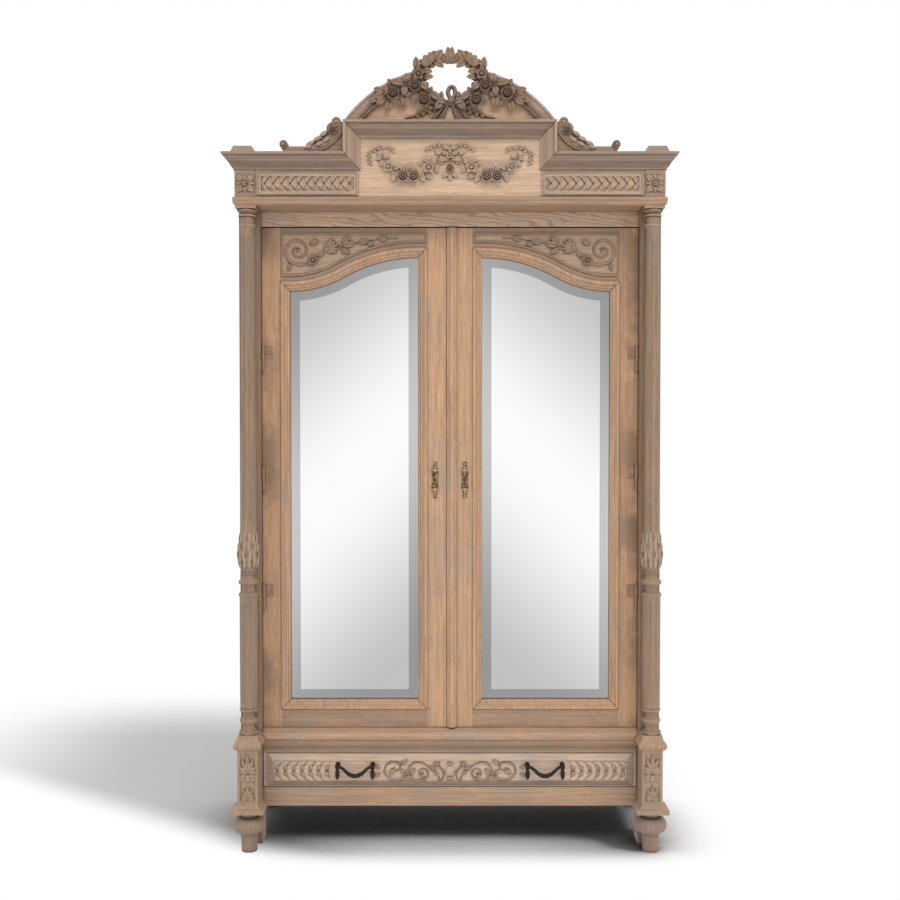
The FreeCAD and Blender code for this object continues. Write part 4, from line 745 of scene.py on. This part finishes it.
# In the tables of the carving a leaf is u, v, turn, length and, where it varies, width;
# a flower is its form, u, v and radius
class ARMOIRE_OT_crest(Operator):
    """Carve the flower wreath with its bow and its sprays along the arch"""

    bl_idname = "armoire.crest"
    bl_label = "Carve the Crest"

    LEAVES = ((-50, 58, -38, 42, 28), (-49, 62, -128, 36, 24), (-101, 28, 5, 42, 25),
              (-86, 34, -105, 32, 22), (-84, 12, -92, 32, 22), (-96, 0, -135, 38, 25),
              (-68, -30, -125, 46, 27), (-28, -60, -4, 28, 19), (-24, -60, 140, 32, 25),
              (-92, -40, 130, 26, 20), (-78, -28, -20, 26, 20), (-8, -62, 84, 36, 22),
              (-112, 2, 60, 28, 20), (-104, -36, 165, 30, 20), (-122, -22, 150, 30, 22),
              (-131, -8, 8, 30, 22), (-138, -8, 84, 46, 25), (-137, -13, 172, 32, 23),
              (-138, -42, 176, 38, 28), (-183, -56, 165, 36, 25), (-198, -32, 80, 36, 23),
              (-200, -42, 104, 36, 23), (-198, -52, 128, 34, 23), (-158, -50, 200, 30, 22),
              (-158, -22, 40, 26, 20), (-176, -20, 30, 28, 20), (-216, -52, 112, 34, 20),
              (-90, 2, 95, 26, 20))
    PETALS = ((-1, 48, 6, 52, 25), (-3, 50, 34, 40, 19), (-8, 56, 66, 32, 19))
    FLOWERS = (("daisy", -97, 21, 21), ("bloom", -108, -15, 20), ("bloom", -80, -60, 22),
               ("bloom", -175, -39, 21))
    HOOP = ((0, 80), (-50, 70), (-82, 36), (-91, -4), (-88, -40), (-62, -60), (-26, -64), (0, -64))
    SPRAY = ((-92, -6), (-130, -18), (-172, -36), (-214, -56), (-236, -72))
    LOOP = ((4, -54), (-6, -42), (-7, -28), (1, -15), (11, -16), (17, -30), (14, -46), (7, -56))
    TAILS = (((0, -58), (-16, -70), (-30, -84), (-38, -98), (-52, -114)),
             ((-2, -58), (-10, -76), (-18, -92), (-22, -104), (-31, -116)),
             ((4, -58), (9, -76), (16, -92), (20, -104), (28, -116)),
             ((6, -58), (22, -70), (36, -84), (42, -98), (57, -114)))
    CURL = ((-30, -70), (-50, -80), (-66, -90), (-84, -94), (-102, -100))
    CURL_END = ((-96, -100), (-120, -106), (-139, -111))

    def execute(self, context):
        ribbon = context.scene.armoire_carving.ribbon / MM
        middle = Relief(flat_face(CREST_FACE, 0, WREATH_Z))
        halves = both_sides(CREST_FACE, 0, WREATH_Z)
        halves.stroke(self.HOOP, 18, 14, 2)
        halves.stroke([(u, v, 1 - 0.15 * i) for i, (u, v) in enumerate(self.SPRAY)], 10, 20, 8)
        self.bed(halves)
        for u, v, turn, long, wide in self.LEAVES:
            halves.leaf(u, v, turn, long, wide, lift=14 if self.over_arch(u, v) else 9, lean=8)
        for u, v, turn, long, wide in self.PETALS:
            halves.leaf(u, v, turn, long, wide, lift=12, lean=8)
        for form, u, v, radius in self.FLOWERS:
            halves.flower(form, u, v, radius, lift=12 if self.over_arch(u, v) else 11)
        halves.put("egg", -56, 46, 38, (40, 40, 18), 12)
        halves.frill(self.CURL, 1.9 * ribbon, 1.6 * ribbon, 14, 2)
        halves.stroke(self.CURL_END, 0.7 * ribbon, 8, 1)
        for radius in (ARCH_INNER + 3, ARCH_INNER + 11):
            arch = [around(radius, angle) for angle in range(138, 100, -4)]
            halves.stroke([(u, v - ARCH_DROP) for u, v in arch], 4, 5, 15)
        for points in self.TAILS:
            for edge in (-3.6, 3.6):
                fold = [(u + edge * i / 4, v, 0.8 + 0.08 * i) for i, (u, v) in enumerate(points)]
                middle.stroke(fold, 0.85 * ribbon, 12, 3)
        for lift, size in ((6, 1.5), (13, 0.9)):
            middle.stroke(self.LOOP, size * ribbon, 12, lift)
        middle.put("berry", 3, -58, 0, (12, 10, 12), 10)
        middle.parts += halves.parts
        middle.finish("crest_carving", "carcass", carved("crest_oak"), nodes=("crest_wreath",))
        return {"FINISHED"}

    def over_arch(self, u, v):
        return math.hypot(u, v + ARCH_DROP) > ARCH_INNER

    def bed(self, relief):
        """A lower layer of leaves that lean out of and into the wreath, all along its left half."""
        for i in range(1, 9):
            angle = 98 + 16 * i
            u, v = around(WREATH_RADIUS - (3 if i < 7 else 12), angle)
            turn = angle + (32 if i % 2 else -32)
            relief.leaf(u, v, turn - 90, 24, 18, lift=5, lean=6)
            relief.leaf(u, v, turn + 90, 24, 17, lift=5, lean=6)


class ARMOIRE_OT_garland(Operator):
    """Carve the two flower swags on the raised frieze"""

    bl_idname = "armoire.garland"
    bl_label = "Carve the Garland"

    RIBBON = ((-252, 2180), (-240, 2183), (-226, 2192), (-206, 2197), (-190, 2191), (-173, 2187))
    HANGING = ((-252, 2180), (-249, 2167), (-248, 2154), (-246, 2142))
    BOW = ((-78, 2187), (-66, 2190), (-54, 2198), (-38, 2204), (-20, 2200), (0, 2196))
    SWAG = ((-226, 2188, 0.5), (-214, 2164, 0.7), (-204, 2142, 1), (-184, 2120, 1.3), (-150, 2106, 1.6),
            (-112, 2106, 1.6), (-84, 2114, 1.2), (-62, 2136, 1), (-44, 2160, 0.7), (-24, 2180, 0.5))
    LEAVES = ((-222, 2186, -150, 22, 16), (-212, 2170, -100, 26, 17), (-208, 2168, 120, 22, 16),
              (-202, 2156, 140, 24, 17), (-178, 2127, -62, 30, 19), (-166, 2122, 160, 34, 18),
              (-128, 2118, 6, 26, 19), (-140, 2118, 30, 26, 17), (-104, 2120, 38, 30, 19),
              (-116, 2118, -14, 24, 16), (-92, 2118, -155, 32, 19), (-80, 2114, -120, 28, 17),
              (-50, 2152, 82, 32, 22), (-36, 2156, 108, 26, 18), (-48, 2138, -150, 24, 16),
              (-84, 2136, 40, 20, 14), (-22, 2174, 62, 28, 19), (-20, 2172, 160, 24, 16),
              (-4, 2182, 30, 22, 16), (-3, 2118, 122, 25, 15))
    FLOWERS = (("daisy", -190, 2135, 18), ("rose", -145, 2106, 21), ("rose", -112, 2106, 21),
               ("daisy", -66, 2133, 20), ("daisy", -27, 2152, 11), ("berry", -216, 2178, 6),
               ("berry", -206, 2146, 5))

    def execute(self, context):
        ribbon = context.scene.armoire_carving.ribbon / MM
        halves = both_sides(GARLAND_FACE)
        for points in (self.RIBBON, self.HANGING, self.BOW):
            halves.frill(points, 1.25 * ribbon, ribbon, 8, 1)
        halves.stroke(self.SWAG, 8, 6, 0)
        for u, v, turn, long, wide in self.LEAVES:
            halves.leaf(u, v, turn, long, wide, lift=1, lean=6, depth=6)
        for form, u, v, radius in self.FLOWERS:
            halves.flower(form, u, v, radius, lift=2)
        middle = Relief(flat_face(GARLAND_FACE))
        middle.stroke([(0, 2180), (1, 2160), (0, 2140)], 3.5, 5, 0)
        middle.flower("berry", 0, 2190, 6, lift=3)
        middle.flower("daisy", 0, 2172, 15, lift=2)
        for turn in (60, -60, 125, -125):
            middle.leaf(0, 2168, turn, 26, 15, lift=1, lean=6, depth=6)
        middle.flower("rose", 0, 2131, 13, lift=2)
        middle.leaf(0, 2116, 180, 24, 13, lift=1, lean=6, depth=6)
        middle.parts += halves.parts
        middle.finish("garland_carving", "carcass", carved("garland_oak"), nodes=("frieze_garland",))
        return {"FINISHED"}


class ARMOIRE_OT_brackets(Operator):
    """Carve the leaves, roses and scrolls of the two brackets"""

    bl_idname = "armoire.brackets"
    bl_label = "Carve the Brackets"

    LEAVES = ((88, 40, 120, 33), (65, 54, 118, 33), (47, 71, 122, 32), (62, 38, 120, 31), (38, 54, 126, 32),
              (95, 26, 112, 27))
    BAND = ((9, 99), (12, 68), (33, 42), (64, 20), (96, 11), (119, 9))

    def execute(self, context):
        relief = both_sides(BRACKET_FACE, BRACKET_X, BRACKET_Z)
        for out, v, turn, long in self.LEAVES:
            relief.leaf(-out, v, turn, long, 17, lift=-2, lean=2, depth=9, form="bay")
        relief.flower("rose", -34, 71, 14, lift=1)
        for u, v, radius, start in ((-187, 30, 11, -60), (-23, 97, 12, -20)):
            relief.stroke(coil(u, v, radius, 6, start, 420), 4, 9, 1)
            relief.flower("berry", u, v, 7)
        for shift in (0, 7):
            relief.stroke([(0.8 * shift - out, v - 0.7 * shift) for out, v in self.BAND], 5.5, 7)
        relief.finish("bracket_carving", "carcass")
        return {"FINISHED"}


class ARMOIRE_OT_rosettes(Operator):
    """Carve the leafy rosettes on the corner blocks of the frieze"""

    bl_idname = "armoire.rosettes"
    bl_label = "Carve the Rosettes"

    def execute(self, context):
        relief = both_sides(ROSETTE_FACE, ROSETTE_X, ROSETTE_Z)
        for turn in range(0, 360, 90):
            relief.leaf(0, 0, turn + 45, 34, 21, lean=3, depth=6)
            relief.leaf(0, 0, turn, 27, 13, lift=1, lean=3, depth=6, form="bay")
        relief.flower("daisy", 0, 0, 10, lift=6)
        relief.finish("rosette_carving", "carcass")
        return {"FINISHED"}


class ARMOIRE_OT_bands(Operator):
    """Carve the lapping leaves of the frieze panels and of the drawer ends"""

    bl_idname = "armoire.bands"
    bl_label = "Carve the Leaf Bands"

    FRAME = (bead(-591, 2050, -289, 2050), bead(-591, 2117, -289, 2117), bead(-591, 2049, -591, 2118),
             bead(-289, 2049, -289, 2118))

    def execute(self, context):
        self.band("frieze_leaves", "carcass", FRIEZE_FACE, start=-579, pitch=26.1, count=11,
                  middle=ROSETTE_Z, long=25, beads=self.FRAME)
        self.band("drawer_leaves", "drawer", DRAWER_BAND_FACE, start=-561, pitch=26.5, count=7,
                  middle=229.0, long=21)
        return {"FINISHED"}

    def band(self, name, body, face, start, pitch, count, middle, long, beads=()):
        """Pairs of leaves that open towards the middle of the armoire, in a bead frame."""
        relief = both_sides(face)
        for i in range(count):
            u = start + pitch * i
            for side, turn in ((-1, -142), (1, -36)):
                relief.leaf(u, middle + side, turn, long, 17, lift=-1, lean=4, depth=8, form="bay")
            # A dark drilled spot by each pair: painted shade of a drilled hole
            relief.flower("drilled", u + 8, middle, 3.4, lift=1)
        for points in beads:
            relief.stroke(points, 3.2, 4, 2.5)
        relief.finish(name, body)


class ARMOIRE_OT_spandrels(Operator):
    """Carve the scroll, flower, bud and leaf spray over each mirror"""

    bl_idname = "armoire.spandrels"
    bl_label = "Carve the Spandrels"

    LEAVES = ((-450, 1912, -70, 34), (-508, 1856, 170, 26), (-398, 1892, 130, 30), (-352, 1900, -112, 36),
              (-346, 1908, -80, 44), (-348, 1914, -55, 36), (-296, 1916, -78, 38), (-270, 1918, -100, 30),
              (-232, 1928, -84, 34))
    BORDER = (((-532, 1818.5), (-505, 1818), (-472, 1820.5), (-441, 1826), (-410, 1835), (-380, 1847.5),
               (-348, 1864.5), (-310, 1883), (-270, 1898), (-230, 1910), (-188, 1918.5), (-146, 1924),
               (-103, 1925.5), (-80, 1925)),
              bead(-532, 1818, -532, 1944), bead(-80, 1925, -80, 1944), bead(-533, 1944, -79, 1944))
    STEM = ((-480, 1846, 1), (-455, 1846, 1), (-425, 1868, 0.9), (-398, 1894, 0.9), (-360, 1906, 0.8),
            (-310, 1914, 0.6), (-250, 1926, 0.5), (-200, 1932, 0.4))

    def execute(self, context):
        stem = context.scene.armoire_carving.stem / MM
        for side, relief in each_side(SPANDREL_FACE):
            relief.stroke(coil(-483, 1893, 46, 5, -70, -640, 24), 1.5 * stem, 9)
            relief.flower("berry", -483, 1893, 6)
            for points in self.BORDER:
                relief.stroke(points, 3, 4)
            relief.stroke(self.STEM, stem, 8)
            for u, v, turn, long in self.LEAVES:
                relief.leaf(u, v, turn, long, 0.48 * long, lean=3, depth=8)
            relief.flower("daisy", -435, 1862, 19)
            relief.put("bud", -392, 1900, -72, (42, 46, 20))
            for i in range(4):
                relief.flower("berry", -196 + 9 * i, 1932, 3.6)
            relief.finish(side + "_spandrel_carving", side + "_door", carved("carved_oak"))
        return {"FINISHED"}


class ARMOIRE_OT_drawer(Operator):
    """Carve the scrolls of the drawer front and the frame of its button"""

    bl_idname = "armoire.drawer"
    bl_label = "Carve the Drawer"

    SCROLLS = (((-146, 206), (-165, 199), (-185, 199), (-203, 210), (-213, 228), (-204, 250), (-183, 260),
                (-163, 254), (-158, 240), (-167, 230), (-179, 230), (-180, 240)),
               ((-146, 206), (-137, 224), (-131, 243), (-115, 257), (-92, 256), (-72, 246), (-58, 229)),
               ((-137, 224), (-127, 204), (-104, 197), (-80, 200), (-68, 217), (-75, 234), (-91, 237),
                (-101, 226), (-93, 216), (-85, 224)),
               ((-36, 254), (-44, 250), (-40, 243), (-29, 238), (-20, 224), (-20, 206), (-32, 198),
                (-39, 204), (-34, 210)))
    LEAVES = ((-160, 246, -50, 30), (-146, 210, 20, 26), (-196, 214, -40, 30), (-112, 240, 150, 28),
              (-118, 212, 100, 26), (-80, 206, 60, 24), (-70, 244, -110, 26), (-54, 232, -140, 24),
              (-56, 250, -80, 24), (-222, 236, 60, 24), (-222, 222, 120, 24), (-186, 240, 170, 24))

    def execute(self, context):
        stem = context.scene.armoire_carving.stem / MM
        relief = both_sides(DRAWER_FACE)
        for points in self.SCROLLS:
            relief.stroke([(u, v, 1 - 0.5 * i / len(points)) for i, (u, v) in enumerate(points)], stem, 11)
        for u, v, turn, long in self.LEAVES:
            relief.leaf(u, v, turn, long, 0.45 * long, lean=4, depth=7)
        beads = [bead(-587, 287, 0, 287)]
        for i in range(3):
            side, low, high = -587 + 7 * i, 184 + 4.5 * i, 287 - 8 * i
            beads += [bead(side, low, 0, low), bead(side, low, side, high)]
        for points in beads:
            relief.stroke(points, 3.2, 5, 3)
        middle = Relief(flat_face(DRAWER_FACE))
        for turn in (-60, -30, 0, 30, 60):
            middle.leaf(0, 211, 180 + turn, 15, 7, lift=-1, lean=2, depth=5, form="bay")
            middle.leaf(0, 246, turn, 15, 7, lift=-1, lean=2, depth=4, form="bay")
        relief.parts += middle.parts
        relief.finish("drawer_carving", "drawer")
        return {"FINISHED"}


class ARMOIRE_OT_pulls(Operator):
    """Model the two swag pulls of the drawer with their knobs and tassels"""

    bl_idname = "armoire.pulls"
    bl_label = "Model the Pulls"

    SWAG = ((-55, 249, 0.8), (-44, 246, 0.7), (-33, 236, 0.8), (-20, 223, 1.0), (0, 216, 1.15))
    # Tassel, ball, collar, post and back plate: height, size and lift
    KNOB = ((224, (7.4, 18.5, 7.4), 0), (250, (8, 8, 8), 0), (243, (7.4, 3, 7.4), 0),
            (250, (4.5, 4.5, 14), -10), (250, (8, 8, 3), -21))

    def execute(self, context):
        relief = both_sides(PULL_FACE, PULL_X)
        relief.stroke([*self.SWAG, *((-u, v, share) for u, v, share in reversed(self.SWAG[:-1]))], 13, 13)
        for u in (-56, 56):
            for v, size, lift in self.KNOB:
                relief.put("berry", u, v, 0, size, lift)
        bronze = metal("dark_bronze", context.scene.armoire_finishes.bronze, 0.5, 1.2)
        relief.finish("swag_pulls", "drawer", bronze, "dark_bronze", ("drawer_pulls",))
        return {"FINISHED"}


class ARMOIRE_OT_key_plates(Operator):
    """Raise the scrolls, leaves and knobs on the two key plates"""

    bl_idname = "armoire.key_plates"
    bl_label = "Raise the Key Plates"

    def execute(self, context):
        brass = bpy.data.materials["aged_brass"]
        for side, relief in each_side(KEY_FACE, KEY_X, KEY_Z):
            relief.stroke([(7 * math.cos(0.5 * i), 13 * math.sin(0.5 * i)) for i in range(14)], 2.6, 4)
            for up in (1, -1):
                upright = 90 - 90 * up
                relief.put("berry", 0, 51 * up, 0, (5, 5, 4))
                relief.put("berry", 0, 43 * up, 0, (4, 2.5, 3))
                relief.leaf(0, 24 * up, upright, 18, 8, lean=4, depth=4)
                for out in (1, -1):
                    way = up * out
                    relief.stroke(coil(5 * out, 21 * up, 5.5, 1.5, 90 + 70 * way, -400 * way), 2.4, 4)
                    relief.leaf(2 * out, 26 * up, upright - 38 * way, 13, 6, lean=4, depth=4)
            relief.finish(side + "_key_plate_relief", side + "_door", brass, "aged_brass")
        return {"FINISHED"}


class ARMOIRE_OT_pedestals(Operator):
    """Carve the leaf sprays on the pedestals and round the bulbs of the columns"""

    bl_idname = "armoire.pedestals"
    bl_label = "Carve Pedestals and Columns"

    # Leaves of a spray: turn, length and width
    SPRAY = ((62, 30, 12), (-62, 30, 12), (40, 38, 13), (-40, 38, 13), (18, 54, 13), (-18, 54, 13),
             (0, 62, 14))
    # Rings of leaves on a bulb: foot, length, width, radius and lean
    COLLARS = ((884, 46.2, 30.24, 21.3, 8), (904, 48.3, 29.12, 26.3, 3), (930, 48.3, 28.0, 28.3, -4),
               (956, 56.7, 24.64, 27.3, -9))
    NECK_RINGS = ((1960, 23), (1990, 25))       # height and radius

    def execute(self, context):
        panel = both_sides(PEDESTAL_FACE, -COLUMN_X)
        for turn, long, wide in self.SPRAY:
            panel.leaf(0, 246, turn, long, wide, lift=-1, lean=2, depth=6)
            panel.leaf(0, 164, turn, 0.75 * long, 0.85 * wide, lift=-1, lean=2, depth=6)
        for turn in (75, 105, -75, -105):
            panel.leaf(0, 238, turn, 26, 13, lift=-1, lean=2, depth=5)
        panel.put("berry", 0, 236, 0, (8, 14, 6))
        panel.finish("pedestal_carving", "carcass")
        leaves = Relief()
        for side in (-1, 1):
            for ring, (low, long, wide, radius, lean) in enumerate(self.COLLARS):
                collar = Relief(*(column_face(side, 60 * i + 30 * ring) for i in range(6)))
                collar.leaf(0, low, 0, long, wide, lift=radius, lean=lean, depth=8)
                leaves.parts += collar.parts
            for height, radius in self.NECK_RINGS:
                deselect()
                spot = (side * COLUMN_X * MM, COLUMN_Y * MM, height * MM)
                bpy.ops.mesh.primitive_torus_add(location=spot, major_radius=radius * MM, minor_radius=3 * MM,
                                                 major_segments=32, minor_segments=8)
                bpy.ops.object.transform_apply(location=True, rotation=True, scale=True)
                leaves.parts.append(bpy.context.object)
        leaves.finish("column_leaves", "carcass")
        return {"FINISHED"}


class ARMOIRE_OT_stage(Operator):
    """Set the floor, the light, the pale background and the camera"""

    bl_idname = "armoire.stage"
    bl_label = "Set the Stage"

    # Edges of the floor's shadow, each from clear to full, and the line of its slanting front edge
    SHADOW_X, SHADOW_Y = ((-2.3, -1.2), (0.95, 0.7)), ((-0.36, -0.2), (1.9, 1.0))
    SHADOW_SLANT, SHADOW_SHIFT, SHADOW_FRONT = 0.69, 0.67, (-0.06, 0.2)

    def execute(self, context):
        stage = context.scene.armoire_stage
        context.scene.view_settings.view_transform = "Standard"
        floor = self.floor(context.scene.armoire_finishes.floor)
        self.sky(context.scene, stage.sky, stage.horizon)
        self.lamp("key_light", stage.key, size=1.6, spot=(0.9, -3.0, 4.6), target=(0, 0, 1.0))
        side = self.lamp("side_light", stage.side, size=1.1, spot=(3.6, -2.6, 5.0), target=(-0.6, 0, 0))
        lit = bpy.data.collections.new("lit_by_side_light")
        lit.objects.link(floor)
        side.light_linking.receiver_collection = lit
        camera = bpy.data.objects.new("camera", bpy.data.cameras.new("camera"))
        camera.data.lens = stage.lens
        camera.location = (0, -stage.distance, stage.height)
        camera.rotation_euler = (math.pi / 2 - stage.tilt, 0, 0)
        context.collection.objects.link(camera)
        context.scene.camera = camera
        return {"FINISHED"}

    def floor(self, tone):
        """A floor that looks white to the camera, except where the armoire's shadow falls; a painted contact
        shadow darkens it near the armoire.
        """
        deselect()
        bpy.ops.mesh.primitive_plane_add(size=40)
        bpy.ops.object.mode_set(mode="EDIT")
        bpy.ops.mesh.subdivide(number_cuts=9)
        bpy.ops.object.mode_set(mode="OBJECT")
        floor = bpy.context.object
        floor.name = "studio_floor"
        finish = Finish("studio_floor")
        x, y = (finish.split(finish.place(), axis) for axis in "XY")
        shaded = finish.between(y + self.SHADOW_SLANT * x + self.SHADOW_SHIFT, *self.SHADOW_FRONT)
        for place, edges in ((x, self.SHADOW_X), (y, self.SHADOW_Y)):
            for clear, full in edges:
                shaded = shaded * finish.between(place, clear, full)
        grit = finish.noise(finish.place(), 240, 3)
        # Painted contact shadow: the floor's colour darkens towards black where the armoire is close
        painted_contact_shadow = finish.between(finish.open_air(0.4, 8), 0.25, 0.95)
        ground = finish.blend(painted_contact_shadow, shade(tone, 0.03), tuple(tone))
        finish.set(Base_Color=ground, Roughness=0.8 + 0.1 * grit)
        white = finish.node("ShaderNodeEmission", {}, {"Color": (1, 1, 1), "Strength": 1.0})
        share = finish.ray("Glossy") + finish.ray("Transmission") + finish.ray("Camera") * (1 - shaded)
        cover = finish.node("ShaderNodeMixShader", {},
                            {0: share, 1: Value(finish, finish.shader.outputs[0]), 2: white})
        finish.feed(finish.tree.nodes["Material Output"].inputs["Surface"], cover)
        floor.data.materials.append(finish.owner)
        return floor

    def sky(self, scene, above, horizon):
        """A sky that is seen white, and lights the armoire more from above than from the sides."""
        scene.world = scene.world or bpy.data.worlds.new("studio")
        finish = Finish("studio", scene.world)
        finish.tree.nodes.clear()
        seen = finish.ray("Camera") + finish.ray("Glossy") + finish.ray("Transmission")
        height = abs(finish.split(finish.coordinate("Generated"), "Z"))
        dim = finish.node("ShaderNodeBackground", {},
                          {"Color": (1, 1, 1), "Strength": horizon + (above - horizon) * height})
        white = finish.node("ShaderNodeBackground", {}, {"Color": (1, 1, 1), "Strength": 1.0})
        cover = finish.node("ShaderNodeMixShader", {}, {0: seen, 1: dim, 2: white})
        out = finish.tree.nodes.new("ShaderNodeOutputWorld")
        finish.feed(out.inputs["Surface"], cover)

    def lamp(self, name, power, size, spot, target):
        """An area light that shines at a target and doesn't show in the mirrors."""
        light = bpy.data.lights.new(name, "AREA")
        light.energy = power
        light.size = size
        lamp = bpy.data.objects.new(name, light)
        lamp.location = spot
        lamp.rotation_euler = (Vector(target) - Vector(spot)).to_track_quat("-Z", "Y").to_euler()
        lamp.visible_glossy = False
        bpy.context.collection.objects.link(lamp)
        return lamp


PIECES = (ARMOIRE_OT_finishes, ARMOIRE_OT_crest, ARMOIRE_OT_garland, ARMOIRE_OT_brackets, ARMOIRE_OT_rosettes,
          ARMOIRE_OT_bands, ARMOIRE_OT_spandrels, ARMOIRE_OT_drawer, ARMOIRE_OT_pulls, ARMOIRE_OT_key_plates,
          ARMOIRE_OT_pedestals, ARMOIRE_OT_stage)
GROUPS = {"armoire_finishes": ArmoireFinishes, "armoire_carving": ArmoireCarving,
          "armoire_stage": ArmoireStage}


class ARMOIRE_PT_sidebar(Panel):
    """Lists the steps that dress the armoire"""

    bl_idname = "ARMOIRE_PT_sidebar"
    bl_label = "Armoire"
    bl_space_type = "VIEW_3D"
    bl_region_type = "UI"
    bl_category = "Armoire"

    def draw(self, context):
        for group, kind in GROUPS.items():
            for name in kind.__annotations__:
                self.layout.prop(getattr(context.scene, group), name)
        for piece in PIECES:
            self.layout.operator(piece.bl_idname)


def register():
    for name, group in GROUPS.items():
        bpy.utils.register_class(group)
        setattr(bpy.types.Scene, name, PointerProperty(type=group))
    for cls in (*PIECES, ARMOIRE_PT_sidebar):
        bpy.utils.register_class(cls)


def unregister():
    for cls in (ARMOIRE_PT_sidebar, *reversed(PIECES)):
        bpy.utils.unregister_class(cls)
    for name, group in GROUPS.items():
        delattr(bpy.types.Scene, name)
        bpy.utils.unregister_class(group)


def main():
    register()
    for piece in PIECES:
        getattr(bpy.ops.armoire, piece.bl_idname.split(".")[1])()
    deselect()


if __name__ == "__main__":
    main()
